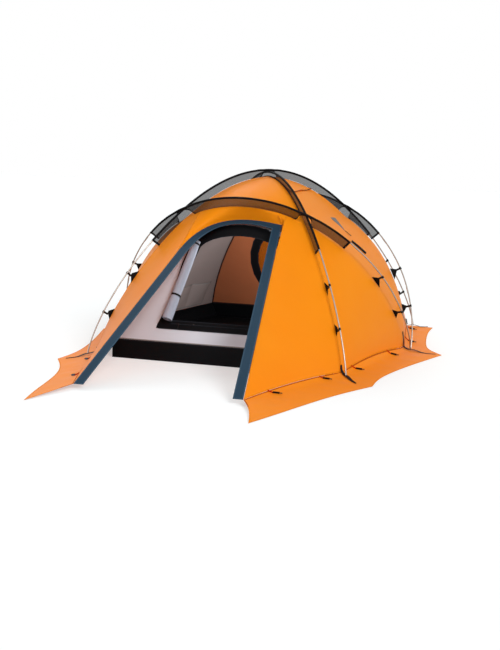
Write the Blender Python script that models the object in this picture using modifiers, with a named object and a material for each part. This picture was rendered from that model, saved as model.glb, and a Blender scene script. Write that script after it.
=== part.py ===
"""A four-pole geodesic tent, pitched: an outer tent hung inside four outside poles, an inner tent
with a tray floor, snow skirts and a sloping porch with a D-shaped doorway.

Metres, +Z up. The origin is on the ground under the top crossing; the front door faces -Y.
"""

import math

import bmesh
import bpy
from mathutils import Matrix, Vector

# Poles. The feet stand a little above the ground, on the corner straps.
APEX_HEIGHT = 1.242
FOOT_HEIGHT = 0.03
DIAGONAL_FOOT_X = 0.906
DIAGONAL_FOOT_Y = 1.149
CROSS_FOOT_X = 1.104
CROSSING_X = 0.46
DIAGONAL_RISE = (1.56, 0.278)  # how an arch climbs with the sine of its angle
CROSS_RISE = (1.105, -0.026)
CROSS_REACH = (1.161, 0.233)  # how it leans out from the middle
POLE_DIAMETER = 0.0095
CROSSING_GAP = 0.0065  # between two poles that cross

# Outer tent
FABRIC = 0.001
SEAM_GAP = 0.0004
FLY_DROP_TOP = 0.042  # from the poles' own dome in to the fabric, at the top
FLY_DROP_FOOT = 0.072
FLY_DROP_SIDE = 0.052
DROP_FULL_RADIUS = 1.2
HEM_HEIGHT = 0.035
HEM_RISE = 0.034
CREASE_X = 0.33  # where the porch's side seam meets the front cross pole

# Doorway, in the plane of the porch front: x across, v up the slope
PORCH_LENGTH = 2.10
PORCH_HEM_HEIGHT = 0.03
PORCH_TOP_Y = 0.53
PORCH_TOP_Z = 0.975
DOOR_HALF_WIDTH = 0.538
DOOR_TAPER = 0.141
DOOR_ARC_START = 1.40
DOOR_CORNER = (0.293, 1.735)
DOOR_ARC_HANDLES = ((-0.30, 1.70), (-0.13, 1.87))
BAND_WIDTH = 0.065
BAND_THICKNESS = 0.0025
BAND_GAP = 0.0016  # in from the edge of the fly's opening

# Skirts: how far the pointed tips on the ground lie out from the hem's corners, to the side and
# to the end, and how far each edge is drawn in between two tips
SKIRT_TIP_FRONT_RIGHT = (0.167, 0.41)
SKIRT_TIP_FRONT_LEFT = (0.112, 0.40)
SKIRT_TIP_CORNER_RIGHT = (0.2485, 0.1944)
SKIRT_TIP_CORNER_LEFT = (0.2035, 0.1944)
SKIRT_TIP_SIDE = 0.2798
SKIRT_TIP_REAR = (0.1935, 0.1434)
SKIRT_SAG_FRONT_RIGHT = 0.032
SKIRT_SAG_FRONT_LEFT = 0.072
SKIRT_SAG_SIDE = 0.065
SKIRT_SAG_REAR_SIDE = 0.095
SKIRT_BULGE = 0.025  # of the short edge beside the doorway
SKIRT_REAR_REACH = 0.14
SKIRT_PROFILE = ((0, 1.0), (0.12, 0.46), (0.45, 0.2), (1, 0))  # share of the way out, of the height

# Sleeves, hooks and straps
TUNNEL_EASE = 0.00125  # round the pole
SLEEVE_CLOTH = 0.0008
SLEEVE_END_DIAGONAL = 0.755
SLEEVE_END_CROSS = 0.784
NOTCH_HALF = 0.075
HOOK_HEIGHTS_DIAGONAL = (0.278, 0.539)
HOOK_HEIGHTS_CROSS = (0.289, 0.545)
HOOK_WIDTH = 0.012
HOOK_WALL = 0.0028
HOOK_CLEARANCE = 0.001
GUSSET_ABOVE = 0.022
GUSSET_BELOW = 0.048
GUSSET_START = 0.030  # from the pole to the gusset's narrow end
GUSSET_THICKNESS = 0.0016
GUSSET_GAP = 0.00055
STRAP_WIDTH = 0.027
STRAP_THICKNESS = 0.0016
STRAP_OUT = 0.235
STRAP_TIP_SHARE = 0.4  # of its width

# Rear door, hinged along its sill
REAR_DOOR_HALF = 0.42
REAR_DOOR_SILL = 0.16
REAR_DOOR_SPRING = 0.46  # where the arch starts
REAR_DOOR_RISE = 0.40
REAR_DOOR_GAP = 0.0006

# Inner tent
INNER_DROP = 0.16
INNER_FRONT_Y = 1.06
INNER_LEAN = 0.538  # how far the end walls lean in, for each metre up
INNER_SIDE_X = 1.00
INNER_CORNER_X = 0.765
TRAY_HEIGHT = 0.12
TRAY_THICKNESS = 0.0015
INNER_DOOR_SILL = 0.25
INNER_DOOR_HALF = 0.44
INNER_DOOR_TOP_HALF = 0.30
INNER_DOOR_SPRING = 0.72
INNER_DOOR_TOP = 0.845
BINDING_WIDTH = 0.052
BINDING_THICKNESS = 0.0015
REAR_HATCH_HALF = 0.325
REAR_HATCH_MIDDLE = 0.50
REAR_HATCH_RISE = 0.32
HATCH_STOP = 0.006  # the hatch closes against this much of its binding
HANGER_WIDTH = 0.02
HANGER_START = 0.002  # right of the middle seam

# Rolled doors and zips
INNER_ROLL_RADII = (0.038, 0.029)
OUTER_ROLL_RADIUS = 0.036
OUTER_ROLL_EASE = 0.0006  # a roll's flat sides lie this much inside its radius
OUTER_ROLL_SPAN = (0.30, 1.50)
REAR_ZIP_HEIGHT = 0.25
REAR_ZIP_OUT = 0.012  # out from the door's edge
REAR_ZIP_TRAVEL = 0.04
SLIDER_SIZE = (0.009, 0.016, 0.006)
PULL_SIZE = (0.006, 0.032, 0.0015)
CLEARANCE = 0.0003
OUTER_ZIP_INSET = 0.040  # from the band's inner edge
INNER_ZIP_INSET = 0.011  # down from the doorway
OUTER_ZIP_START = 0.10  # up the slope from the hem
INNER_ZIP_START = -0.325

# How finely the curves are cut. Neighbours share these counts, so that their seams match.
LOWER = 12  # foot to crossing
UPPER = 8  # crossing to top
HOOD_COLUMNS = 12
PANEL_COLUMNS = 6
INNER_LOWER = 6
INNER_UPPER = 5

HUB = Vector((0, 0, 0.13))
FRONT, REAR = -1, 1
LEFT, RIGHT = -1, 1


# Scene, collections and materials

def clear_scene():
    for item in list(bpy.data.objects):
        bpy.data.objects.remove(item, do_unlink=True)


def new_collection(name, hidden=False):
    collection = bpy.data.collections.new(name)
    bpy.context.scene.collection.children.link(collection)
    collection.hide_render = hidden
    return collection


def material(name, colour, roughness, metallic=0.0):
    made = bpy.data.materials.new(name)
    made.use_nodes = True
    shader = made.node_tree.nodes["Principled BSDF"]
    shader.inputs["Base Color"].default_value = (*colour, 1)
    shader.inputs["Roughness"].default_value = roughness
    shader.inputs["Metallic"].default_value = metallic
    made.diffuse_color = (*colour, 1)
    return made


def finish_mesh(name, bm, finish, smooth=True):
    """Writes a bmesh to a new object in the tent's collection."""
    mesh = bpy.data.meshes.new(name)
    bm.to_mesh(mesh)
    bm.free()
    if smooth:
        mesh.shade_smooth()
        mesh.set_sharp_from_angle(angle=math.radians(35))
    mesh.materials.append(finish)
    made = bpy.data.objects.new(name, mesh)
    TENT.objects.link(made)
    return made


# The poles' centre lines and the fabric that follows them

def lerp(a, b, t):
    return a + (b - a) * t


def along(points, place):
    """The point at a fractional place on a polyline, where 2.5 is halfway from point 2 to 3."""
    index = min(int(place), len(points) - 2)
    return lerp(points[index], points[index + 1], place - index)


def diagonal_point(angle, side, level=0.0):
    """On the diagonal pole whose front foot is on the given side. The angle is 0 at that foot and
    pi at the far one; level lifts the pole off the shared dome."""
    point = Vector((
        side * DIAGONAL_FOOT_X * math.cos(angle),
        -DIAGONAL_FOOT_Y * math.cos(angle),
        FOOT_HEIGHT + APEX_HEIGHT * arch_share(angle, DIAGONAL_RISE),
    ))
    crossing = math.sin(CROSSING_ANGLE_DIAGONAL)
    weight = max(0.0, (math.sin(angle) - crossing) / (1 - crossing))
    return inward(point, -level * weight)


def arch_share(angle, powers):
    sine = max(0.0, math.sin(angle))
    return sine ** (powers[0] + powers[1] * sine ** 2)


def inward(point, distance):
    return point - (point - HUB).normalized() * distance


CROSSING_ANGLE_DIAGONAL = math.acos(CROSSING_X / DIAGONAL_FOOT_X)
CROSSING_ANGLE_CROSS = math.acos(CROSSING_X / CROSS_FOOT_X)


def cross_point(angle, end, level=0.0):
    """On a cross pole. Its height and reach are set by where it has to cross the diagonals."""
    crossing = diagonal_point(CROSSING_ANGLE_DIAGONAL, RIGHT)
    top = (crossing.z - FOOT_HEIGHT) / arch_share(CROSSING_ANGLE_CROSS, CROSS_RISE)
    reach = -crossing.y / arch_share(CROSSING_ANGLE_CROSS, CROSS_REACH)
    point = Vector((
        CROSS_FOOT_X * math.cos(angle),
        end * reach * arch_share(angle, CROSS_REACH),
        FOOT_HEIGHT + top * arch_share(angle, CROSS_RISE),
    ))
    return inward(point, -level * min(1.0, 2 * math.sin(angle)))


def spread(start, end, count):
    return [start + (end - start) * i / count for i in range(count + 1)]


def mirrored_angles(half):
    return half + [math.pi - angle for angle in reversed(half[:-1])]


DIAGONAL_ANGLES = mirrored_angles(
    spread(0, CROSSING_ANGLE_DIAGONAL, LOWER)
    + spread(CROSSING_ANGLE_DIAGONAL, math.pi / 2, UPPER)[1:]
)
CREASE_ANGLE = math.acos(CREASE_X / CROSS_FOOT_X)
CROSS_ANGLES = mirrored_angles(
    spread(0, CROSSING_ANGLE_CROSS, LOWER)
    + spread(CREASE_ANGLE, math.pi / 2, HOOD_COLUMNS // 2)
)
CROSS_RIGHT = LOWER  # place of the right crossing on a cross pole
CROSS_LEFT = len(CROSS_ANGLES) - 1 - LOWER
DIAGONAL_APEX = LOWER + UPPER


def diagonal_line(side, level=0.0):
    return [diagonal_point(angle, side, level) for angle in DIAGONAL_ANGLES]


def cross_line(end, level=0.0):
    return [cross_point(angle, end, level) for angle in CROSS_ANGLES]


def fly_drop(point):
    """How far the fabric lies inside a point of the poles' dome."""
    share = min(1.0, math.hypot(point.x, point.y) / DROP_FULL_RADIUS)
    return lerp(FLY_DROP_TOP, FLY_DROP_FOOT, share)


def ridge_under(line, drops):
    """The seam of the fly under a pole. Both its ends are corners of the hem."""
    ridge = [inward(point, drop) for point, drop in zip(line, drops)]
    ridge[0].z = ridge[-1].z = HEM_HEIGHT
    return ridge


def diagonal_ridge(side):
    line = diagonal_line(side)
    return ridge_under(line, [fly_drop(point) for point in line])


def cross_ridge(end):
    line = cross_line(end)
    drops = [fly_drop(point) for point in line]
    for i in range(LOWER):
        drops[i] = drops[-1 - i] = lerp(FLY_DROP_SIDE, drops[LOWER], i / LOWER)
    return ridge_under(line, drops)


def flip_y(points):
    return [Vector((point.x, -point.y, point.z)) for point in points]


def flip_x(points):
    return [Vector((-point.x, point.y, point.z)) for point in points]


# Sheets

def coons(left, right, top=None, bottom=None):
    """A patch between two side curves, each a list of points from top to bottom. The top and
    bottom curves run from left to right; without one, that edge is straight."""
    rows = len(left) - 1

    def place(u, row):
        point = lerp(left[row], right[row], u)
        share = row / rows
        for curve, weight in ((top, 1 - share), (bottom, share)):
            if curve:
                straight = lerp(curve[0], curve[-1], u)
                shape = along(curve, u * (len(curve) - 1)) - straight
                point = point + shape * weight ** 2
        return point

    return place


def add_patch(bm, place, columns, rows):
    """A grid whose points go where the patch says."""
    found = bmesh.ops.create_grid(bm, x_segments=columns, y_segments=rows, size=0.5)["verts"]
    for vert in found:
        u = vert.co.x + 0.5
        row = round((vert.co.y + 0.5) * rows)
        vert.co = place(u, row)


def close_patch(bm, gap=SEAM_GAP, upward=False):
    """Welds patches along shared seams, turns them outwards and draws the free edge in."""
    bmesh.ops.remove_doubles(bm, verts=bm.verts, dist=1e-5)
    bmesh.ops.dissolve_degenerate(bm, edges=bm.edges, dist=1e-6)
    bmesh.ops.recalc_face_normals(bm, faces=bm.faces)
    total = sum(
        (face.normal.z if upward else face.normal.dot(face.calc_center_median() - HUB))
        * face.calc_area()
        for face in bm.faces
    )
    if total < 0:
        bmesh.ops.reverse_faces(bm, faces=bm.faces)
    moves = {}
    for vert in bm.verts:
        if vert.is_boundary:
            centres = [face.calc_center_median() for face in vert.link_faces]
            middle = sum(centres, Vector()) / len(centres)
            moves[vert] = (middle - vert.co).normalized() * gap
    for vert, move in moves.items():
        vert.co += move


def solidify(made, thickness, offset=1.0):
    wall = made.modifiers.new("Wall", "SOLIDIFY")
    wall.thickness = thickness
    wall.offset = offset
    wall.use_even_offset = True
    return made


def sheet(name, patches, finish, thickness=FABRIC, gap=SEAM_GAP, upward=False):
    """A sewn panel: patches are (place, columns, rows), and the cloth grows outwards."""
    bm = bmesh.new()
    for place, columns, rows in patches:
        add_patch(bm, place, columns, rows)
    close_patch(bm, gap, upward)
    return solidify(finish_mesh(name, bm, finish), thickness)


def flat_piece(name, outlines, thickness, finish, frame, holder=None):
    """A flat outline, with any holes, as a filled curve extruded to both sides of its plane."""
    curve = bpy.data.curves.new(name, "CURVE")
    curve.dimensions = "2D"
    curve.fill_mode = "BOTH"
    curve.extrude = thickness / 2
    for outline in outlines:
        spline = curve.splines.new("POLY")
        spline.points.add(len(outline) - 1)
        for point, (x, y) in zip(spline.points, outline):
            point.co = (x, y, 0, 1)
        spline.use_cyclic_u = True
    source = bpy.data.objects.new(name + "_outline", curve)
    TENT.objects.link(source)
    mesh = bpy.data.meshes.new_from_object(
        source.evaluated_get(bpy.context.evaluated_depsgraph_get())
    )
    bpy.data.objects.remove(source)
    mesh.transform(frame)
    bm = bmesh.new()
    bm.from_mesh(mesh)
    bpy.data.meshes.remove(mesh)
    bmesh.ops.remove_doubles(bm, verts=bm.verts, dist=1e-6)
    bmesh.ops.recalc_face_normals(bm, faces=bm.faces)
    made = finish_mesh(name, bm, finish, smooth=False)
    if holder:
        TENT.objects.unlink(made)
        holder.objects.link(made)
        made.hide_render = True
        made.display_type = "WIRE"
    return made


def put_origin(made, point):
    """Moves an object's origin to a point of its hinge line and leaves its shape where it is."""
    made.data.transform(Matrix.Translation(-point))
    made.location = point


def boolean(made, cutter, operation):
    cut = made.modifiers.new(operation.title(), "BOOLEAN")
    cut.operation = operation
    cut.object = cutter


def frame_of(origin, across, up):
    """A matrix whose X is across, Y up and Z their normal."""
    across = across.normalized()
    normal = across.cross(up).normalized()
    up = normal.cross(across)
    turn = Matrix((across, up, normal)).transposed().to_4x4()
    return Matrix.Translation(origin) @ turn


def bezier(start, handles, end, count):
    points = []
    for i in range(count + 1):
        t = i / count
        weights = ((1 - t) ** 3, 3 * t * (1 - t) ** 2, 3 * t * t * (1 - t), t ** 3)
        corners = (start, *handles, end)
        points.append(tuple(sum(w * c[k] for w, c in zip(weights, corners)) for k in (0, 1)))
    return points


# Doorway of the porch

PORCH_HEM = Vector((0, -PORCH_LENGTH, PORCH_HEM_HEIGHT))
PORCH_FRAME = frame_of(
    PORCH_HEM,
    Vector((1, 0, 0)),
    Vector((0, -PORCH_TOP_Y, PORCH_TOP_Z)) - PORCH_HEM,
)


def door_leg(v, width=0.0):
    return DOOR_HALF_WIDTH - width - DOOR_TAPER * v


def band_outer():
    """The band's outer edge from the arc's foot over to the corner."""
    start = (-door_leg(DOOR_ARC_START), DOOR_ARC_START)
    return bezier(start, DOOR_ARC_HANDLES, DOOR_CORNER, HOOD_COLUMNS - 2)


def band_inner():
    v_start = DOOR_ARC_START - 0.04
    start = (-door_leg(v_start, BAND_WIDTH), v_start)
    v_corner = DOOR_CORNER[1] - BAND_WIDTH * 0.75
    corner = (door_leg(v_corner, BAND_WIDTH), v_corner)
    reach = BAND_WIDTH * 0.92
    handles = (
        (DOOR_ARC_HANDLES[0][0] + reach, DOOR_ARC_HANDLES[0][1] - reach * 0.66),
        (DOOR_ARC_HANDLES[1][0] + reach * 0.5, DOOR_ARC_HANDLES[1][1] - reach),
    )
    return bezier(start, handles, corner, HOOD_COLUMNS)


def inset(outline, distance):
    """An open outline moved to its right, with mitred corners."""
    sides = []
    for (x0, y0), (x1, y1) in zip(outline, outline[1:]):
        length = math.hypot(x1 - x0, y1 - y0)
        sides.append(((y1 - y0) / length, (x0 - x1) / length))
    sides = [sides[0], *sides, sides[-1]]
    moved = []
    for (x, y), (ax, ay), (bx, by) in zip(outline, sides, sides[1:]):
        scale = distance / (1 + ax * bx + ay * by)
        moved.append((x + (ax + bx) * scale, y + (ay + by) * scale))
    return moved


def make_door_band():
    outer = inset([(-door_leg(0), 0)] + band_outer() + [(door_leg(0), 0)], BAND_GAP)
    inner = [(-door_leg(0, BAND_WIDTH), 0)] + band_inner() + [(door_leg(0, BAND_WIDTH), 0)]
    flat_piece("door_band", [outer + inner[::-1]], BAND_THICKNESS, NAVY, PORCH_FRAME)


def on_porch(point):
    return PORCH_FRAME @ Vector((point[0], point[1], 0))


def make_hood():
    """The piece between the band and the front cross sleeve."""
    leg = [(door_leg(v), v) for v in spread(DOOR_CORNER[1], DOOR_ARC_START, 2)[1:]]
    over_band = PORCH_FRAME.to_3x3() @ Vector((0, 0, BAND_THICKNESS / 2 + SEAM_GAP * 1.25))
    outline = band_outer() + leg
    outline[1:-1] = inset(outline, BAND_GAP)[1:-1]
    below = [on_porch(point) + over_band for point in outline]
    ridge = cross_ridge(FRONT)
    above = [ridge[CROSS_LEFT - 1 - i] for i in range(HOOD_COLUMNS + 1)]

    def place(u, row):
        column = round(u * HOOD_COLUMNS)
        return lerp(above[column], below[column], row / 3)

    sheet("fly_porch_hood", [(place, HOOD_COLUMNS, 3)], FLY)


def hem(start, end, rise=HEM_RISE, count=PANEL_COLUMNS):
    """The bottom seam between two corners, which the tension lifts in the middle."""
    points = []
    for t in spread(0, 1, count):
        point = lerp(start, end, t)
        point.z += rise * 4 * t * (1 - t)
        points.append(point)
    return points


def base_corner(which):
    """Where a seam on the right meets the hem."""
    return (cross_ridge(FRONT) if which == "side" else diagonal_ridge(RIGHT))[0]


def porch_corner():
    return on_porch((door_leg(0), 0))


def make_porch_side(side):
    """The big flat panel beside the doorway."""
    ridge = diagonal_ridge(RIGHT)[:LOWER + 1][::-1]
    crease_top = cross_ridge(FRONT)[CROSS_RIGHT + 1]
    shoulder = on_porch((door_leg(DOOR_ARC_START), DOOR_ARC_START))
    bend = 3
    crease = [lerp(crease_top, shoulder, row / bend) for row in range(bend)]
    crease += spread(shoulder, porch_corner(), LOWER - bend)
    bottom = hem(porch_corner(), base_corner("front"), HEM_RISE * 0.6)
    if side == LEFT:
        ridge, crease, bottom = flip_x(ridge), flip_x(crease), flip_x(bottom)
    name = "fly_porch_right" if side == RIGHT else "fly_porch_left"
    sheet(name, [(coons(crease, ridge, bottom=bottom), PANEL_COLUMNS, LOWER)], FLY)


# Outer tent

def under_arch(right, ridge, weight):
    """A panel between a seam on the right, its mirror image and an arched edge that joins them.
    The weight says how much of the arch each row keeps."""
    left = flip_x(right)
    columns = len(ridge) - 1
    width = ridge[-1].x - ridge[0].x

    def place(u, row):
        top = ridge[round(u * columns)]
        across = (top.x - ridge[0].x) / width
        shape = top - lerp(ridge[0], ridge[-1], across)
        return lerp(left[row], right[row], across) + shape * weight(row / (len(right) - 1))

    return place, columns, len(right) - 1


def make_roof(end):
    """The triangle between the top crossing and a cross pole."""
    right = diagonal_ridge(RIGHT)[LOWER:DIAGONAL_APEX + 1][::-1]
    ridge = cross_ridge(FRONT)[CROSS_RIGHT:CROSS_LEFT + 1][::-1]
    if end == REAR:
        right, ridge = flip_y(right), flip_y(ridge)
    name = "fly_roof_front" if end == FRONT else "fly_roof_rear"
    sheet(name, [under_arch(right, ridge, lambda share: share ** 2)], FLY)


def side_patches():
    """The right side: a front triangle, a rear triangle and the diamond between them."""
    diagonal = diagonal_ridge(RIGHT)
    cross = cross_ridge(FRONT)[:LOWER + 1][::-1]
    foot = diagonal[:LOWER + 1][::-1]
    top = diagonal[LOWER:DIAGONAL_APEX + 1][::-1]
    diamond = top + cross[1:]
    front_hem = hem(base_corner("front"), base_corner("side"))
    front = coons(foot, cross, bottom=front_hem)
    rear = coons(flip_y(foot), flip_y(cross), bottom=flip_y(front_hem))
    middle = coons(diamond, flip_y(diamond))
    return [
        (front, PANEL_COLUMNS, LOWER),
        (middle, PANEL_COLUMNS, LOWER + UPPER),
        (rear, PANEL_COLUMNS, LOWER),
    ]


def mirror_place(place):
    def mirrored(u, row):
        point = place(u, row)
        return Vector((-point.x, point.y, point.z))

    return mirrored


def make_side(side):
    patches = side_patches()
    if side == LEFT:
        patches = [(mirror_place(place), columns, rows) for place, columns, rows in patches]
    name = "fly_side_right" if side == RIGHT else "fly_side_left"
    sheet(name, patches, FLY)


VENT_ROWS = (0.6, 1, 2, 3, 4, 4.4)  # rows of the side panel that the cape covers
VENT_SEAM_LIFT = FABRIC + SEAM_GAP * 2
VENT_LIFT = 0.003
VENT_COLUMNS = 8


def make_vent_cape():
    """The cape over the right side's roof vent. Its free lower edge waves."""
    middle = side_patches()[1][0]
    margin = 0.06

    def place(u, row):
        at = VENT_ROWS[row]
        across = lerp(margin, 1 - margin, u)
        point = lerp(middle(across, int(at)), middle(across, int(at) + 1), at - int(at))
        free_edge = row == len(VENT_ROWS) - 1
        wave = 0.006 * (1 + math.cos(4 * math.pi * u)) if free_edge else 0.0
        lift = lerp(VENT_SEAM_LIFT, VENT_LIFT, row / (len(VENT_ROWS) - 1))
        return inward(point, -lift - wave)

    sheet("vent_cape", [(place, VENT_COLUMNS, len(VENT_ROWS) - 1)], FLY)


def rear_wall_patch():
    right = flip_y(diagonal_ridge(RIGHT)[:LOWER + 1][::-1])
    ridge = flip_y(cross_ridge(FRONT)[CROSS_RIGHT:CROSS_LEFT + 1][::-1])
    taut, columns, rows = under_arch(right, ridge, lambda share: (1 - share) ** 3)

    def place(u, row):
        point = taut(u, row)
        if row == rows:
            point.z += HEM_RISE * 0.5 * (4 * u * (1 - u)) ** 2
        return point

    return place, columns, rows


def rear_door_outline(gap):
    """An arch on a straight sill, seen from behind."""
    half = REAR_DOOR_HALF + gap
    base = REAR_DOOR_SILL - gap
    arch = [
        (half * math.cos(angle), REAR_DOOR_SPRING + (REAR_DOOR_RISE + gap) * math.sin(angle))
        for angle in spread(0, math.pi, 14)
    ]
    return [(half, base)] + arch + [(-half, base)]


def sill_point():
    """The middle of the rear door's hinge line, on the wall's outer face."""
    wall, _, rows = rear_wall_patch()
    row = next(i for i in range(rows, 0, -1) if wall(0.5, i - 1).z > REAR_DOOR_SILL) - 1
    high, low = wall(0.5, row), wall(0.5, row + 1)
    point = lerp(low, high, (REAR_DOOR_SILL - low.z) / (high.z - low.z))
    return point + Vector((0, high.z - low.z, low.y - high.y)).normalized() * FABRIC


def make_rear_wall_and_door():
    """The wall and its door come from one surface, cut by one outline."""
    upright = frame_of(Vector((0, 1.0, 0)), Vector((1, 0, 0)), Vector((0, 0, 1)))
    for name, gap, operation in (
        ("fly_rear_wall", REAR_DOOR_GAP / 2, "DIFFERENCE"),
        ("fly_rear_door", -REAR_DOOR_GAP / 2, "INTERSECT"),
    ):
        cutter = flat_piece(
            name + "_cutter", [rear_door_outline(gap)], 1.2, FLY, upright, CUTTERS
        )
        made = sheet(name, [rear_wall_patch()], FLY)
        boolean(made, cutter, operation)
        if name == "fly_rear_door":
            put_origin(made, sill_point())


# Snow skirts

def on_profile(point, edge, row, taut=0.0):
    """Out from the hem: steep at first, then nearly flat, or straight where the cloth is taut."""
    out, height = SKIRT_PROFILE[row]
    placed = lerp(point, edge, out)
    placed.z = lerp(edge.z, point.z, lerp(height, 1 - out, taut))
    return placed


def skirt_edge(start, end, sag, skew, power=1.0, count=PANEL_COLUMNS):
    """The outer edge on the ground, drawn in between its pointed tips. A skew over 1 puts the
    deepest place nearer the end."""
    run = end - start
    across = Vector((run.y, -run.x, 0)).normalized()
    if across.dot(lerp(start, end, 0.5)) > 0:
        across = -across
    return [
        lerp(start, end, t) + across * sag * math.sin(math.pi * t ** skew) ** power
        for t in spread(0, 1, count)
    ]


def skirt_strip(seam, edge, bulge=0.0, taut=0.0):
    inner = [point - Vector((0, 0, FABRIC + SEAM_GAP * 1.5)) for point in seam]
    side = math.copysign(1, edge[0].x)

    def place(u, row):
        at = u * (len(seam) - 1)
        near_door = max(0.0, 1 - 3 * u)
        point = on_profile(along(inner, at), along(edge, at), row, taut * near_door)
        out = near_door * math.sin(math.pi * SKIRT_PROFILE[row][0])
        return point + Vector((side * bulge * out, 0, 0))

    return place, len(seam) - 1, len(SKIRT_PROFILE) - 1


def tip_from(corner, side, end, reach):
    """A skirt's tip on the ground, out from a corner of the hem on the right."""
    return Vector((side * (corner.x + reach[0]), end * (abs(corner.y) + reach[1]), 0))


def rear_tip_point(side):
    return tip_from(base_corner("front"), side, REAR, SKIRT_TIP_REAR)


def side_skirt_strips(side):
    """Porch, front side and rear side strips, which share their seams at the pointed tips."""
    if side == RIGHT:
        front_reach, corner_reach = SKIRT_TIP_FRONT_RIGHT, SKIRT_TIP_CORNER_RIGHT
        front_sag, bulge = SKIRT_SAG_FRONT_RIGHT, SKIRT_BULGE
    else:
        front_reach, corner_reach = SKIRT_TIP_FRONT_LEFT, SKIRT_TIP_CORNER_LEFT
        front_sag, bulge = SKIRT_SAG_FRONT_LEFT, 0.0
    front_tip = tip_from(porch_corner(), side, FRONT, front_reach)
    corner_tip = tip_from(base_corner("front"), side, FRONT, corner_reach)
    side_tip = tip_from(base_corner("side"), side, FRONT, (SKIRT_TIP_SIDE, 0))
    rear_tip = rear_tip_point(side)
    porch_hem = hem(porch_corner(), base_corner("front"), HEM_RISE * 0.6)
    side_hem = hem(base_corner("front"), base_corner("side"))
    if side == LEFT:
        porch_hem, side_hem = flip_x(porch_hem), flip_x(side_hem)
    rear_hem = flip_y(side_hem)[::-1]
    return [
        skirt_strip(porch_hem, skirt_edge(front_tip, corner_tip, front_sag, 1.6), bulge, 1.0),
        skirt_strip(side_hem, skirt_edge(corner_tip, side_tip, SKIRT_SAG_SIDE, 0.65)),
        skirt_strip(rear_hem, skirt_edge(side_tip, rear_tip, SKIRT_SAG_REAR_SIDE, 0.5, 0.6)),
    ]


def make_skirts():
    sheet("skirt_right", side_skirt_strips(RIGHT), FLY, upward=True)
    sheet("skirt_left", side_skirt_strips(LEFT), FLY, upward=True)
    wall, columns, rows = rear_wall_patch()
    seam = [wall(i / columns, rows) for i in range(columns + 1)]
    edge = skirt_edge(rear_tip_point(LEFT), rear_tip_point(RIGHT), -SKIRT_REAR_REACH, 1,
                      count=columns)
    sheet("skirt_rear", [skirt_strip(seam, edge)], FLY, gap=SEAM_GAP * 2, upward=True)


# Poles and sleeves

POLE_STEP = POLE_DIAMETER + CROSSING_GAP  # between the middles of two poles that cross
TUNNEL_RADIUS = POLE_DIAMETER / 2 + TUNNEL_EASE
LEVELS = {"under": -POLE_STEP / 2, "over": POLE_STEP / 2, "cross": POLE_STEP}


def pole_lines():
    """(name, pole line, fly ridge, places of the cut-outs, height of the sleeve's ends)."""
    apex = [DIAGONAL_APEX]
    crossings = [CROSS_RIGHT, CROSS_LEFT]
    return [
        ("diagonal_right", diagonal_line(RIGHT, LEVELS["under"]), diagonal_ridge(RIGHT), [],
         SLEEVE_END_DIAGONAL),
        ("diagonal_left", diagonal_line(LEFT, LEVELS["over"]), diagonal_ridge(LEFT), apex,
         SLEEVE_END_DIAGONAL),
        ("cross_front", cross_line(FRONT, LEVELS["cross"]), cross_ridge(FRONT), crossings,
         SLEEVE_END_CROSS),
        ("cross_rear", cross_line(REAR, LEVELS["cross"]), cross_ridge(REAR), crossings,
         SLEEVE_END_CROSS),
    ]


def split_foot(line, end):
    """Moves the shared side feet of the two cross poles apart, so that they stand side by side."""
    moved = [point.copy() for point in line]
    for i in (0, -1):
        moved[i].y += end * (POLE_DIAMETER / 2 + 0.003)
    return moved


def make_pole(name, line):
    curve = bpy.data.curves.new(name, "CURVE")
    curve.dimensions = "3D"
    curve.bevel_depth = POLE_DIAMETER / 2
    curve.bevel_resolution = 2
    curve.use_fill_caps = True
    spline = curve.splines.new("POLY")
    spline.points.add(len(line) - 1)
    for point, place in zip(spline.points, line):
        point.co = (*place, 1)
    curve.materials.append(ALUMINIUM)
    TENT.objects.link(bpy.data.objects.new(name, curve))


def place_at_height(line, height):
    """The fractional place, from the first foot, where a line reaches a height."""
    for i, (low, high) in enumerate(zip(line, line[1:])):
        if low.z <= height + FOOT_HEIGHT <= high.z:
            return i + (height + FOOT_HEIGHT - low.z) / (high.z - low.z)
    raise ValueError("the line never reaches that height")


def sleeve_places(line, cuts, end_height):
    """Where the sleeve's sections stand: each point of the pole, and more at a cut-out."""
    last = len(line) - 1
    start = place_at_height(line, end_height)
    inner = range(math.ceil(start + 0.05), math.floor(last - start - 0.05) + 1)
    places = {start, last - start, *inner}
    for cut in cuts:
        step = NOTCH_HALF / (line[cut + 1] - line[cut]).length
        places.update(cut + step * share for share in (-1, -0.7, -0.35, 0.35, 0.7, 1))
    return sorted(places)


def notch_share(line, cuts, place):
    """1 in the middle of a cut-out and 0 outside it, round like an arch."""
    share = 0.0
    for cut in cuts:
        step = NOTCH_HALF / (line[cut + 1] - line[cut]).length
        t = min(1.0, abs(place - cut) / step)
        share = max(share, math.sqrt(max(0.0, 1 - t * t)))
    return share


SLEEVE_FOOT_GAP = FABRIC + 0.0005


def sleeve_section(line, ridge, cuts, place):
    """One section: up the fin from the fabric and once round the pole."""
    centre, foot = along(line, place), along(ridge, place)
    before, after = along(line, place - 0.5), along(line, place + 0.5)
    tangent = (after - before).normalized()
    reach = (foot - centre).length
    full = 1 - SLEEVE_FOOT_GAP / reach
    least = (TUNNEL_RADIUS + SLEEVE_CLOTH + 0.0007) / reach
    share = lerp(full, least, notch_share(line, cuts, place))
    down = (foot - centre).normalized()
    aside = tangent.cross(down).normalized()
    down = aside.cross(tangent)
    points = [lerp(centre, foot, share)]
    for corner in range(6):
        angle = math.radians(60 * corner)
        points.append(centre + (down * math.cos(angle) + aside * math.sin(angle)) * TUNNEL_RADIUS)
    last = points[6] + (points[1] - points[6]) * 0.9
    return points + [last]


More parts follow.
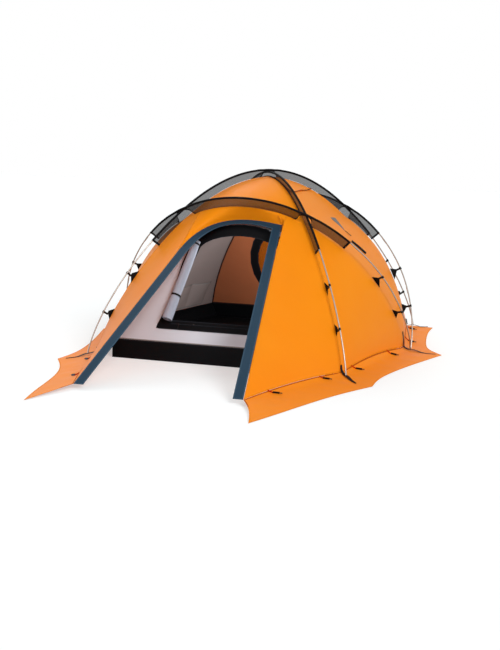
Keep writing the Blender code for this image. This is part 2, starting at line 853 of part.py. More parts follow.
def make_sleeve(name, line, ridge, cuts, end_height):
    places = sleeve_places(line, cuts, end_height)
    sections = [sleeve_section(line, ridge, cuts, place) for place in places]
    bm = bmesh.new()
    rows = [[bm.verts.new(point) for point in section] for section in sections]
    for row, following in zip(rows, rows[1:]):
        for i in range(len(row) - 1):
            bm.faces.new((row[i], row[i + 1], following[i + 1], following[i]))
    bm.normal_update()
    made = finish_mesh(name, bm, MESH_CLOTH)
    solidify(made, SLEEVE_CLOTH)


# Hooks with their gussets

def c_outline(inner, outer, start, stop, count=9):
    angles = spread(math.radians(start), math.radians(stop), count)
    ring = [(outer * math.cos(a), outer * math.sin(a)) for a in angles]
    return ring + [(inner * math.cos(a), inner * math.sin(a)) for a in reversed(angles)]


def seam_stretch(ridge, place, below, above):
    """The points of a seam from one distance below a place to another above it."""
    length = (ridge[math.ceil(place)] - ridge[math.floor(place)]).length
    low, high = place - below / length, place + above / length
    between = range(math.ceil(low + 0.05), math.floor(high - 0.05) + 1)
    return [along(ridge, at) for at in (low, *between, high)]


def make_hook(name, line, ridge, height):
    """A hook round the pole, joined to a cloth triangle whose wide edge lies on the seam."""
    place = place_at_height(line, height)
    centre = along(line, place)
    up = (line[math.ceil(place)] - line[math.floor(place)]).normalized()
    reach = along(ridge, place) - centre
    down = (reach - up * reach.dot(up)).normalized()
    inner = POLE_DIAMETER / 2 + HOOK_CLEARANCE
    ring_frame = frame_of(centre, down, up.cross(down))
    stem = [(inner + HOOK_WALL / 2, -0.003), (inner + HOOK_WALL / 2, 0.003),
            (GUSSET_START + 0.006, 0.003), (GUSSET_START + 0.006, -0.003)]
    ring = c_outline(inner, inner + HOOK_WALL, -50, 215)
    hook = flat_piece(name, [ring], HOOK_WIDTH, BLACK, ring_frame)
    stem_piece = flat_piece(name + "_stem", [stem], HOOK_WIDTH * 0.8, BLACK, ring_frame, CUTTERS)
    seam = [
        ((point - centre).dot(down) - FABRIC - GUSSET_GAP, (point - centre).dot(up))
        for point in seam_stretch(ridge, place, GUSSET_BELOW, GUSSET_ABOVE)
    ]
    middle = (reach.dot(up) / reach.dot(down)) * GUSSET_START
    triangle = [(GUSSET_START, middle - 0.005), *seam, (GUSSET_START, middle + 0.005)]
    gusset = flat_piece(
        name + "_gusset", [triangle], GUSSET_THICKNESS, BLACK, frame_of(centre, down, up), CUTTERS
    )
    boolean(hook, stem_piece, "UNION")
    boolean(hook, gusset, "UNION")


def make_hooks():
    words = {(RIGHT, FRONT): "front_right", (LEFT, FRONT): "front_left",
             (RIGHT, REAR): "rear_right", (LEFT, REAR): "rear_left"}
    lines = {name: (line, ridge) for name, line, ridge, _, _ in pole_lines()}
    for side in (RIGHT, LEFT):
        for end in (FRONT, REAR):
            diagonal = "diagonal_right" if side * end == FRONT else "diagonal_left"
            cross = "cross_front" if end == FRONT else "cross_rear"
            for pole, heights, far, kind in (
                (diagonal, HOOK_HEIGHTS_DIAGONAL, end == REAR, "hook"),
                (cross, HOOK_HEIGHTS_CROSS, side == LEFT, "hook_cross"),
            ):
                line, ridge = lines[pole]
                if far:
                    line, ridge = line[::-1], ridge[::-1]
                for word, height in zip(("low", "high"), heights):
                    make_hook(f"{kind}_{words[side, end]}_{word}", line, ridge, height)


# Corner straps

def sole_height(line):
    """The lowest point of a pole's slanted end."""
    start = (line[1] - line[0]).normalized()
    return line[0].z - POLE_DIAMETER / 2 * math.hypot(start.x, start.y)


def level_direction(start, end):
    return Vector((end.x - start.x, end.y - start.y, 0)).normalized()


def make_strap(name, line, seam, neighbours):
    """Webbing sewn up the corner seam and pulled out under the pole's foot. The neighbours are
    the next corners of the hem, which tell where the seam faces."""
    corner, foot = seam[0], line[0]
    face = -sum((level_direction(corner, other) for other in neighbours), Vector()).normalized()
    away = level_direction(corner, foot)
    stand_off = face * (FABRIC + STRAP_THICKNESS + SEAM_GAP * 2)
    low = corner + stand_off + Vector((0, 0, 0.006))
    reach = math.hypot(foot.x - corner.x, foot.y - corner.y)
    before, seat, end = (corner + away * out for out in (reach - 0.02, reach + 0.02, STRAP_OUT))
    before.z = seat.z = sole_height(line) - CLEARANCE
    end.z = 0.016
    climb = [along(seam, 1.5) + stand_off, seam[1] + stand_off, low]
    path = [*climb, before, seat, lerp(seat, end, 0.5), end]
    widths = [STRAP_WIDTH] * (len(path) - 1) + [STRAP_WIDTH * STRAP_TIP_SHARE]

    def place(u, row):
        towards = face if row < len(climb) else away
        return path[row] + Vector((-towards.y, towards.x, 0)) * widths[row] * (u - 0.5)

    bm = bmesh.new()
    add_patch(bm, place, 1, len(path) - 1)
    close_patch(bm, 0.0, upward=True)
    solidify(finish_mesh(name, bm, BLACK), STRAP_THICKNESS, offset=-1.0)


def make_straps():
    line, seam = diagonal_line(RIGHT)[:3], diagonal_ridge(RIGHT)[:3]
    cross = cross_line(FRONT)[:3]
    middle = [Vector((point.x, 0, point.z)) for point in cross_ridge(FRONT)[:3]]
    rear = flip_y(seam)
    for flip, word in ((list, "right"), (flip_x, "left")):
        porch = flip([porch_corner(), middle[0]])
        side = flip([seam[0], rear[0]])
        back = flip([middle[0], flip_x(rear)[0]])
        make_strap(f"strap_front_{word}", flip(line), flip(seam), porch)
        make_strap(f"strap_side_{word}", flip(cross), flip(middle), side)
        make_strap(f"strap_rear_{word}", flip(flip_y(line)), flip(rear), back)


# Inner tent

def end_wall_y(height):
    return INNER_FRONT_Y - INNER_LEAN * height


def find_height(point_at, height):
    """The angle between foot and crossing at which a line, drawn in, has the height."""
    low, high = 0.0, math.pi / 2
    for _ in range(40):
        middle = (low + high) / 2
        if inward(point_at(middle), INNER_DROP).z < height:
            low = middle
        else:
            high = middle
    return inward(point_at(low), INNER_DROP)


def inner_crossing():
    point = inward(diagonal_point(CROSSING_ANGLE_DIAGONAL, RIGHT), INNER_DROP)
    return Vector((point.x, -end_wall_y(point.z), point.z))


def inner_corner_edge():
    """The front right edge of the inner tent, crossing to tray, in the end wall's plane."""
    top = inner_crossing()
    points = []
    for height in spread(top.z, TRAY_HEIGHT, INNER_LOWER):
        point = find_height(lambda angle: diagonal_point(angle, RIGHT), height)
        points.append(Vector((point.x, -end_wall_y(height), height)))
    points[0] = top
    return points


def inner_side_edge():
    """From the crossing down the side, under the front cross pole."""
    top = inner_crossing()
    points = [top]
    heights = spread(top.z, TRAY_HEIGHT, INNER_LOWER)
    start = find_height(lambda angle: cross_point(angle, FRONT), top.z - 0.02)
    for i, height in enumerate(heights[1:], 1):
        point = find_height(lambda angle: cross_point(angle, FRONT), height)
        fade = (1 - i / INNER_LOWER) ** 2
        points.append(point + (top - start) * fade)
    return points


def inner_top_edge():
    """From the top to the right crossing, under the diagonal."""
    angles = spread(math.pi / 2, CROSSING_ANGLE_DIAGONAL, INNER_UPPER)
    points = [inward(diagonal_point(angle, RIGHT), INNER_DROP) for angle in angles]
    shift = inner_crossing() - points[-1]
    return [point + shift * (i / INNER_UPPER) ** 2 for i, point in enumerate(points)]


def inner_arch():
    """The top edge of the end wall, from the middle to the right crossing."""
    crossing = inner_crossing()
    rise = 0.035
    points = []
    for t in spread(0, 1, INNER_UPPER):
        height = crossing.z + rise * (1 - t * t)
        points.append(Vector((crossing.x * t, -end_wall_y(height), height)))
    return points


def inner_side_patches():
    corner, side, top = inner_corner_edge(), inner_side_edge(), inner_top_edge()
    ridge = top + side[1:]
    arch = inner_arch()
    apex = [top[0]] * (INNER_UPPER + 1)

    def front_roof(u, row):
        column = round(u * INNER_UPPER)
        outer = lerp(apex[0], arch[column], row / INNER_UPPER)
        straight = lerp(apex[0], top[-1], row / INNER_UPPER)
        return outer + (top[row] - straight) * u

    def flip_place(place):
        def flipped(u, row):
            point = place(u, row)
            return Vector((point.x, -point.y, point.z))

        return flipped

    front = coons(corner, side)
    return [
        (front_roof, INNER_UPPER, INNER_UPPER),
        (flip_place(front_roof), INNER_UPPER, INNER_UPPER),
        (front, 3, INNER_LOWER),
        (flip_place(front), 3, INNER_LOWER),
        (coons(ridge, flip_y(ridge)), 4, INNER_LOWER + INNER_UPPER),
    ]


def height_on(place, x):
    """The height, at a distance x to the right of the top, on a patch whose rows start there."""
    top, below = place(0.5, 0), place(0.5, 1)
    return lerp(top.z, below.z, (x - top.x) / (below.x - top.x))


def make_inner_canopy():
    """The two halves of the inner tent's skin. A loop on the right one hangs it from the fly."""
    patches = inner_side_patches()
    right = sheet("inner_canopy_right", patches, INNER_CLOTH, gap=0.0008)
    start, end = HANGER_START, HANGER_START + HANGER_WIDTH
    low = height_on(patches[-1][0], end) - FABRIC
    high = height_on(side_patches()[1][0], end) - CLEARANCE
    outline = [(start, low), (end, low), (end, high), (start, high)]
    upright = frame_of(Vector(), Vector((1, 0, 0)), Vector((0, 0, 1)))
    hanger = flat_piece(
        "inner_hanger", [outline], BINDING_THICKNESS, INNER_CLOTH, upright, CUTTERS
    )
    boolean(right, hanger, "UNION")
    mirrored = [(mirror_place(place), columns, rows) for place, columns, rows in patches]
    sheet("inner_canopy_left", mirrored, INNER_CLOTH, gap=0.0008)


def end_frame(end):
    """X across and Y up the slope of an end wall, from its line on the ground."""
    origin = Vector((0, end * INNER_FRONT_Y, 0))
    up = Vector((0, -end * INNER_LEAN, 1))
    return frame_of(origin, Vector((-end, 0, 0)), up)


SLOPE = math.sqrt(1 + INNER_LEAN ** 2)


def end_wall_outline():
    """Half heights turned into distances up the slope."""
    half = [(point.x, point.z) for point in inner_corner_edge()[::-1]]
    half += [(point.x, point.z) for point in inner_arch()[::-1][1:]]
    half = [(x, z * SLOPE) for x, z in half]
    inset = 0.0012
    half = [(x - inset if x > inset else x, v - inset if i > INNER_LOWER else v)
            for i, (x, v) in enumerate(half)]
    half[0] = (half[0][0], half[0][1] + SEAM_GAP)
    return half + [(-x, v) for x, v in half[-2::-1]]


def inner_door_outline(grow=0.0):
    """The inner doorway: a straight sill, leaning sides and a round top."""
    side = (INNER_DOOR_HALF + grow, (INNER_DOOR_SILL - grow) * SLOPE)
    shoulder = (INNER_DOOR_TOP_HALF + grow, INNER_DOOR_SPRING * SLOPE)
    rise = (INNER_DOOR_TOP - INNER_DOOR_SPRING + grow) * SLOPE
    arch = [(shoulder[0] * math.cos(a), shoulder[1] + rise * math.sin(a))
            for a in spread(0, math.pi, 12)]
    return [side] + arch + [(-side[0], side[1])]


def rear_hatch_outline(grow=0.0):
    return [
        ((REAR_HATCH_HALF + grow) * math.cos(a),
         (REAR_HATCH_MIDDLE + (REAR_HATCH_RISE + grow) * math.sin(a)) * SLOPE)
        for a in spread(0, 2 * math.pi, 24)[:-1]
    ]


def make_inner_end_walls():
    wall = FABRIC
    front, rear = end_frame(FRONT), end_frame(REAR)
    flat_piece("inner_front_wall", [end_wall_outline(), inner_door_outline(0.001)], wall,
               INNER_CLOTH, front)
    flat_piece("inner_rear_wall", [end_wall_outline(), rear_hatch_outline(0.001)], wall,
               INNER_CLOTH, rear)
    outward = Matrix.Translation((0, 0, wall / 2 + BINDING_THICKNESS / 2 + CLEARANCE))
    flat_piece("inner_door_binding",
               [inner_door_outline(BINDING_WIDTH - 0.012), inner_door_outline(-0.012)],
               BINDING_THICKNESS, BLACK, front @ outward)
    flat_piece("rear_hatch_binding",
               [rear_hatch_outline(BINDING_WIDTH - 0.012), rear_hatch_outline(-HATCH_STOP)],
               BINDING_THICKNESS, BLACK, rear @ outward)
    hatch = flat_piece("rear_hatch_door", [rear_hatch_outline(-0.0005)], wall, MESH_CLOTH, rear)
    put_origin(hatch, rear @ Vector((-REAR_HATCH_HALF, REAR_HATCH_MIDDLE * SLOPE, 0)))


def make_tray():
    """The tray floor: a flat base on the ground and six low walls."""
    lean = INNER_LEAN * TRAY_HEIGHT
    rim_front = inner_corner_edge()[-1]
    rim_side = inner_side_edge()[-1]
    bottom = [(INNER_CORNER_X, -INNER_FRONT_Y), (INNER_SIDE_X, -0.02), (INNER_SIDE_X, 0.02),
              (INNER_CORNER_X, INNER_FRONT_Y)]
    rim = [(rim_front.x, -INNER_FRONT_Y + lean), (rim_side.x, rim_side.y),
           (rim_side.x, -rim_side.y), (rim_front.x, INNER_FRONT_Y - lean)]
    rims = rim + [(-x, y) for x, y in rim[::-1]]
    bottoms = bottom + [(-x, y) for x, y in bottom[::-1]]
    bm = bmesh.new()
    low = [bm.verts.new((x, y, 0)) for x, y in bottoms]
    high = [bm.verts.new((x, y, TRAY_HEIGHT - SEAM_GAP)) for x, y in rims]
    bm.faces.new(low[::-1])
    for i in range(len(low)):
        j = (i + 1) % len(low)
        bm.faces.new((low[i], low[j], high[j], high[i]))
    bmesh.ops.recalc_face_normals(bm, faces=bm.faces)
    if sum((face.normal.z for face in bm.faces if len(face.verts) > 4)) > 0:
        bmesh.ops.reverse_faces(bm, faces=bm.faces)
    solidify(finish_mesh("inner_floor", bm, TRAY), TRAY_THICKNESS, offset=-1.0)


# Rolled doors

def make_roll(name, start, end, radii, finish):
    """A rolled door, a little thicker at one end."""
    curve = bpy.data.curves.new(name, "CURVE")
    curve.dimensions = "3D"
    curve.bevel_depth = radii[0]
    curve.bevel_resolution = 3
    curve.use_fill_caps = True
    spline = curve.splines.new("POLY")
    spline.points.add(6)
    for i, point in enumerate(spline.points):
        share = i / 6
        point.co = (*lerp(start, end, share), 1)
        point.radius = lerp(1.0, radii[1] / radii[0], share)
    curve.materials.append(finish)
    TENT.objects.link(bpy.data.objects.new(name, curve))


def make_rolls():
    front = end_frame(FRONT)
    proud = FABRIC / 2 + BINDING_THICKNESS + 2 * CLEARANCE

    def on_wall(x, height, radius):
        return front @ Vector((x, height * SLOPE, proud + radius))

    make_roll(
        "inner_door_roll",
        on_wall(-INNER_DOOR_HALF + 0.035, INNER_DOOR_SILL + 0.005, INNER_ROLL_RADII[0]),
        on_wall(-INNER_DOOR_TOP_HALF - 0.004, INNER_DOOR_SPRING + 0.055, INNER_ROLL_RADII[1]),
        INNER_ROLL_RADII, INNER_CLOTH,
    )
    behind = OUTER_ROLL_EASE - (BAND_THICKNESS / 2 + CLEARANCE + OUTER_ROLL_RADIUS)

    def beside_leg(v):
        return PORCH_FRAME @ Vector((door_leg(v, OUTER_ROLL_RADIUS * 0.56), v, behind))

    make_roll("outer_door_roll", beside_leg(OUTER_ROLL_SPAN[0]), beside_leg(OUTER_ROLL_SPAN[1]),
              (OUTER_ROLL_RADIUS, OUTER_ROLL_RADIUS), FLY)


# Zips

def make_box(name, size, frame, bevel, finish):
    bpy.ops.mesh.primitive_cube_add(size=1)
    made = bpy.context.object
    made.name = name
    made.data.name = name
    made.data.transform(Matrix.Diagonal((*size, 1)))
    for owner in made.users_collection:
        owner.objects.unlink(made)
    TENT.objects.link(made)
    made.matrix_world = frame
    made.data.materials.append(finish)
    edge = made.modifiers.new("Edge", "BEVEL")
    edge.width = bevel
    edge.segments = 2
    return made


def make_slider(name, point, along_zip, outward):
    """The slider's body: its length lies along the zip and its underside on the cloth."""
    frame = frame_of(
        point + outward * (CLEARANCE + SLIDER_SIZE[2] / 2), along_zip.cross(outward), along_zip
    )
    make_box(name, SLIDER_SIZE, frame, 0.0012, BLACK)
    return frame.translation


def make_pull(name, slider_middle, outward, across, down, below):
    """The pull tab. Its origin is on its hinge line, in front of the slider and a little below
    the slider's middle."""
    reach = SLIDER_SIZE[2] / 2 + PULL_SIZE[2] / 2 + CLEARANCE
    frame = frame_of(slider_middle + outward * reach + below, across, -down)
    tab = make_box(name, PULL_SIZE, frame, 0.0005, BLACK)
    tab.data.transform(Matrix.Translation((0, -PULL_SIZE[1] / 2, 0)))


def beside_rear_door(height):
    """A point on the rear wall's cloth just outside the door's edge, and the way across there."""
    wall, columns, rows = rear_wall_patch()
    row = next(i for i in range(rows, 0, -1) if wall(0.5, i - 1).z > height) - 1
    points = []
    for column in range(columns + 1):
        high, low = wall(column / columns, row), wall(column / columns, row + 1)
        points.append(lerp(low, high, (height - low.z) / (high.z - low.z)))
    edge = -REAR_DOOR_HALF - REAR_ZIP_OUT
    left, right = next(pair for pair in zip(points, points[1:]) if pair[1].x > edge)
    return lerp(left, right, (edge - left.x) / (right.x - left.x)), right - left


def make_zips():
    normal = PORCH_FRAME.to_3x3() @ Vector((0, 0, 1))
    zip_in = BAND_WIDTH - OUTER_ZIP_INSET
    leg = on_porch((-door_leg(OUTER_ZIP_START, zip_in), OUTER_ZIP_START))
    leg_up = (on_porch((-door_leg(1, zip_in), 1)) - leg).normalized()
    middle = make_slider("outer_zip_slider", leg - normal * (BAND_THICKNESS / 2), leg_up, -normal)
    make_pull("outer_zip_pull", middle, -normal, leg_up.cross(normal), Vector((0, 0, -1)),
              -leg_up * SLIDER_SIZE[1] / 4)

    front = end_frame(FRONT)
    outward = front.to_3x3() @ Vector((0, 0, 1))
    slope_up = front.to_3x3() @ Vector((0, 1, 0))
    proud = FABRIC / 2 + BINDING_THICKNESS + CLEARANCE
    sill = front @ Vector((INNER_ZIP_START, (INNER_DOOR_SILL - INNER_ZIP_INSET) * SLOPE, proud))
    right = Vector((1, 0, 0))
    middle = make_slider("inner_zip_slider", sill, right, outward)
    make_pull("inner_zip_pull", middle, outward, right, -slope_up, -slope_up * SLIDER_SIZE[0] / 4)

    base, across = beside_rear_door(REAR_ZIP_HEIGHT)
    up = (beside_rear_door(REAR_ZIP_HEIGHT + REAR_ZIP_TRAVEL)[0] - base).normalized()
    outward = up.cross(across).normalized()
    base += outward * (FABRIC + REAR_DOOR_GAP)
    make_slider("rear_zip_slider", base, up, outward)


# Build

clear_scene()
TENT = new_collection("geodesic_tent")
CUTTERS = new_collection("cutters", hidden=True)

FLY = material("orange_ripstop", (0.9, 0.33, 0.03), 0.5)
NAVY = material("navy_door_tape", (0.03, 0.09, 0.15), 0.55)
MESH_CLOTH = material("black_mesh", (0.05, 0.05, 0.055), 0.7)
BLACK = material("black_webbing", (0.012, 0.012, 0.014), 0.6)
INNER_CLOTH = material("pale_inner_cloth", (0.72, 0.72, 0.76), 0.7)
TRAY = material("black_tray_cloth", (0.01, 0.01, 0.012), 0.5)
ALUMINIUM = material("aluminium_tube", (0.75, 0.75, 0.77), 0.3, 1.0)

for pole_name, pole_line, fly_ridge, cut_places, sleeve_end in pole_lines():
    END = {"cross_front": FRONT, "cross_rear": REAR}.get(pole_name)
    make_pole(f"pole_{pole_name}", split_foot(pole_line, END) if END else pole_line)
    make_sleeve(f"sleeve_{pole_name}", pole_line, fly_ridge, cut_places, sleeve_end)
make_roof(FRONT)
make_roof(REAR)
make_side(RIGHT)
make_side(LEFT)
make_vent_cape()
make_porch_side(RIGHT)
make_porch_side(LEFT)
make_hood()
make_door_band()
make_rear_wall_and_door()
make_skirts()
make_hooks()
make_straps()
make_inner_canopy()
make_inner_end_walls()
make_tray()
make_rolls()
make_zips()
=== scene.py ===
"""A backpacking tent with four outside poles, pitched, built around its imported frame."""

import math

import bmesh
import bpy
from mathutils import Matrix, Vector, noise
from mathutils.bvhtree import BVHTree


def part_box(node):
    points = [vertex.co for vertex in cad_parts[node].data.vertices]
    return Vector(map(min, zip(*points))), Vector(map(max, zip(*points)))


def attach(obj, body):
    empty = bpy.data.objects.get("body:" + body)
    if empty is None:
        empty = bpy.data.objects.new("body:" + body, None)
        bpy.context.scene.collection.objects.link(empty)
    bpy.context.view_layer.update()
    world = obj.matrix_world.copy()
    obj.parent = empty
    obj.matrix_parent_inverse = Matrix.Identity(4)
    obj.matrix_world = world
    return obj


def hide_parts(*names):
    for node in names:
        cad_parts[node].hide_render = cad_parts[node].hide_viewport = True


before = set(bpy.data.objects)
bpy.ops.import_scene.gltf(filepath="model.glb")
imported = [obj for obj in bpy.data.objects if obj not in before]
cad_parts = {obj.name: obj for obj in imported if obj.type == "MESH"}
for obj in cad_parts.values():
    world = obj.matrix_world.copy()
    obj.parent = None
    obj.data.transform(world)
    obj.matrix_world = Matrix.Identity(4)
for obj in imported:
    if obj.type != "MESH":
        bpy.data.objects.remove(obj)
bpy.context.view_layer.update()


# The photograph's viewpoint: a long lens, a little over a standing person's waist, off the right
# front corner of the tent.
def placed(name, data):
    """A new object with this mesh, lamp or camera, put in the scene."""
    made = bpy.data.objects.new(name, data)
    bpy.context.scene.collection.objects.link(made)
    return made


viewer = placed("viewer", bpy.data.cameras.new("viewer"))
viewer.data.lens = 65.667
viewer.data.sensor_width = 36
viewer.matrix_world = Matrix((
    (0.94888768, -0.07050783, 0.30763747, 2.627),
    (0.31478473, 0.14081289, -0.93865984, -8.384),
    (0.02286355, 0.98752234, 0.1558104, 1.508),
    (0, 0, 0, 1),
))
bpy.context.scene.camera = viewer


# A plain white studio floor that keeps the tent's soft shadow. What the camera sees of it gets
# a little glow, so that the bare floor comes out white and the shadow stays on it.
def linear(hex_colour):
    """The linear colour of an sRGB hex value."""
    channels = [int(hex_colour[i:i + 2], 16) / 255 for i in (1, 3, 5)]
    return (*(c / 12.92 if c <= 0.04045 else ((c + 0.055) / 1.055) ** 2.4 for c in channels), 1)


def new_material(name):
    made = bpy.data.materials.new(name)
    made.use_nodes = True
    made.node_tree.nodes.clear()
    return made


MIX_A, MIX_B, MIX_COLOUR = 6, 7, 2  # the colour sockets of a Mix node, whose names repeat


def add(owner, kind, inputs=None, **settings):
    """Adds a node with its settings. An input is given a value, a socket that feeds it, or a node
    whose main output feeds it."""
    node = owner.node_tree.nodes.new(f"ShaderNode{kind}")
    for key, value in settings.items():
        setattr(node, key, value)
    for key, value in (inputs or {}).items():
        if isinstance(value, bpy.types.Node):
            value = value.outputs[MIX_COLOUR if value.type == "MIX" else 0]
        if isinstance(value, bpy.types.NodeSocket):
            owner.node_tree.links.new(value, node.inputs[key])
        else:
            node.inputs[key].default_value = value
    return node


def in_view(owner):
    """1 for what the camera sees, straight, in a gloss or through glass, and 0 for other light."""
    ray = add(owner, "LightPath").outputs
    gloss_too = add(owner, "Math", {0: ray["Is Camera Ray"], 1: ray["Is Glossy Ray"]}, operation="ADD")
    return add(owner, "Math", {0: gloss_too, 1: ray["Is Transmission Ray"]}, operation="ADD",
        use_clamp=True)


FLOOR_SIZE, FLOOR_DROP, FLOOR_GLOW = 60, 0.0015, 0.46
bpy.ops.object.select_all(action="DESELECT")
bpy.ops.mesh.primitive_plane_add(size=FLOOR_SIZE, location=(0, 0, -FLOOR_DROP))
floor = bpy.context.object
floor.name = "studio_floor"
white_floor = new_material("white_painted_floor")
seen = in_view(white_floor)
paint = add(white_floor, "BsdfDiffuse", {"Color": linear("#C5C9CA")})
glow = add(white_floor, "Emission", {"Strength": FLOOR_GLOW})
both = add(white_floor, "AddShader", {0: paint, 1: glow})
shown = add(white_floor, "MixShader", {0: seen, 1: paint, 2: both})
add(white_floor, "OutputMaterial", {"Surface": shown})
floor.data.materials.append(white_floor)

# Soft studio light: an even pale room, a broad soft key from the front right, a high lamp at the
# back left that puts a sheen on the cloth, and a low fill that reaches in at the door. A weak
# lamp hangs in the inner tent, so that its walls are seen.
room = bpy.data.worlds.new("pale_room")
room.use_nodes = True
room.node_tree.nodes.clear()
bpy.context.scene.world = room
seen = in_view(room)
dim, white = (
    add(room, "Background", {"Color": (1, 1, 1, 1), "Strength": strength}) for strength in (0.45, 1.0))
backdrop = add(room, "MixShader", {0: seen, 1: dim, 2: white})
add(room, "OutputWorld", {"Surface": backdrop})
bpy.context.scene.view_settings.view_transform = "Standard"
for name, source, strength, spread in (
    ("key", (2.2, -2.0, 1.9), 1.9, 22),
    ("back_light", (-1.5, 1.9, 2.0), 0.9, 30),
    ("low_fill", (-0.2, -3.0, 0.5), 0.5, 25),
):
    sun = placed(name, bpy.data.lights.new(name, "SUN"))
    sun.data.energy = strength
    sun.data.angle = math.radians(spread)
    sun.rotation_euler = (-Vector(source)).to_track_quat("-Z", "Y").to_euler()
inside = placed("tent_lamp", bpy.data.lights.new("tent_lamp", "POINT"))
inside.data.energy = 30
inside.data.shadow_soft_size = 0.22
inside.location = (0.2, -0.1, 0.56)

# Poles: four tubes of pale anodised aluminium, each in sections that plug together. The short
# ferrules of the joints are a little thicker, and each end has a turned tip.
HUB = Vector((0, 0, 0.13))
DIAGONAL = Vector((0.906, -1.149, 0)).normalized()
HEADINGS = {
    "cross_front": Vector((1, 0, 0)),
    "cross_rear": Vector((1, 0, 0)),
    "diagonal_right": DIAGONAL,
    "diagonal_left": Vector((-DIAGONAL.x, DIAGONAL.y, 0)),
}
POLE_RADIUS = 0.00475
FERRULE_SPACING, FERRULE_LENGTH, FERRULE_WALL = 0.42, 0.05, 0.0006
TIP_POINTS, TIP_WALL = (0.001, 0.012, 0.024), 0.0004
SECTION_GAP = 0.004  # radians; the rings of an arched CAD part are further apart than this


def arch_angle(point, heading):
    """The angle of a point about the hub, from upright, in the plane of one arch."""
    return math.atan2(point.dot(heading), point.z - HUB.z)


def arch_sections(node, heading):
    """The points of an arched CAD part in one group for each section, from end to end."""
    points = {tuple(round(c, 5) for c in vert.co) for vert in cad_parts[node].data.vertices}
    points = sorted((Vector(point) for point in points), key=lambda p: arch_angle(p, heading))
    groups = [[points[0]]]
    for before, point in zip(points, points[1:]):
        if arch_angle(point, heading) - arch_angle(before, heading) > SECTION_GAP:
            groups.append([])
        groups[-1].append(point)
    return groups


def middle_of(points):
    return sum(points, Vector()) / len(points)


def rod(name, points, radius, finish, sides=3, steps=4):
    """A round bar bent smoothly through the points, with flat ends."""
    bpy.ops.object.select_all(action="DESELECT")
    bpy.ops.curve.primitive_bezier_curve_add(location=(0, 0, 0))
    made = bpy.context.object
    made.name = name
    spline = made.data.splines[0]
    spline.bezier_points.add(len(points) - 2)
    for knot, place in zip(spline.bezier_points, points):
        knot.co = place
        knot.handle_left_type = knot.handle_right_type = "AUTO"
    made.data.bevel_depth = radius
    made.data.bevel_resolution = sides
    made.data.resolution_u = steps
    made.data.use_fill_caps = True
    bpy.ops.object.convert(target="MESH")
    made = bpy.context.object
    made.data.materials.append(finish)
    bpy.ops.object.shade_smooth_by_angle(angle=math.radians(40))
    return made


def pick(*objects):
    """Selects these objects alone and makes the first active."""
    bpy.ops.object.select_all(action="DESELECT")
    for one in objects:
        one.select_set(True)
    bpy.context.view_layer.objects.active = objects[0]


def join(main, *others):
    """Makes several objects one piece."""
    pick(main, *others)
    bpy.ops.object.join()
    return main


def at_length(points, distance):
    """The point at a distance along a line of points."""
    for a, b in zip(points, points[1:]):
        step = (b - a).length
        if distance <= step:
            return a.lerp(b, distance / step)
        distance -= step
    return points[-1].copy()


def length_of(points):
    return sum((b - a).length for a, b in zip(points, points[1:]))


# Anodised aluminium tube, drawn and dyed a pale natural silver: fine lines run along it, and
# it has a soft, slightly broken highlight.
pole_silver = new_material("anodised_aluminium_tube")
where = add(pole_silver, "TexCoord").outputs["Object"]
drawn = add(pole_silver, "TexNoise", {"Vector": where, "Scale": 220, "Detail": 3})
soft = add(pole_silver, "MapRange", {"Value": drawn, "To Min": 0.3, "To Max": 0.42})
dust = add(pole_silver, "Mix", {0: drawn, MIX_A: linear("#B7B0A9"), MIX_B: linear("#98918A")},
    data_type="RGBA")
shine = add(pole_silver, "BsdfPrincipled", {"Metallic": 1.0, "Base Color": dust, "Roughness": soft})
add(pole_silver, "OutputMaterial", {"Surface": shine})

pole_lines = {}
for word, heading in HEADINGS.items():
    line = [middle_of(ring) for ring in arch_sections(f"pole_{word}", heading)]
    pole_lines[word] = line
    tube = rod(f"pole_{word}_tube", line, POLE_RADIUS, pole_silver, sides=4)
    parts = []
    total = length_of(line)
    sections = int(total / FERRULE_SPACING)
    for i in range(1, sections):
        centre = i * total / sections
        ends = [at_length(line, centre + FERRULE_LENGTH * (k / 2 - 0.5)) for k in range(3)]
        parts.append(rod("ferrule", ends, POLE_RADIUS + FERRULE_WALL, pole_silver, sides=4, steps=2))
    for ends in (line, line[::-1]):
        tip = [at_length(ends, distance) for distance in TIP_POINTS]
        parts.append(rod("tip", tip, POLE_RADIUS + TIP_WALL, pole_silver, sides=4, steps=2))
    join(tube, *parts)
    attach(tube, "tent")
    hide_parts(f"pole_{word}")


# The outer tent: panels of orange polyester ripstop, coated on the inside and sewn along the
# poles. Each is cut to its curve, hemmed, and pulled taut, with slight folds towards its corners.
CLOTH_THICKNESS = 0.0006
SEAM_WIDTH, SEAM_RISE = 0.010, 0.0007
CORNER = math.radians(24)  # an outline that turns by more than this keeps its corner
WELD = 2e-5  # corners of the CAD that are closer than this are one


def bmesh_of(mesh):
    bm = bmesh.new()
    bm.from_mesh(mesh)
    return bm


def write_back(bm, mesh):
    bm.to_mesh(mesh)
    bm.free()


def plain_mesh(bm, name):
    """A new mesh with the corners and faces of an edited one, and nothing else of it."""
    bm.verts.index_update()
    mesh = bpy.data.meshes.new(name)
    mesh.from_pydata([tuple(vert.co) for vert in bm.verts], [],
        [[vert.index for vert in face.verts] for face in bm.faces])
    bm.free()
    return mesh


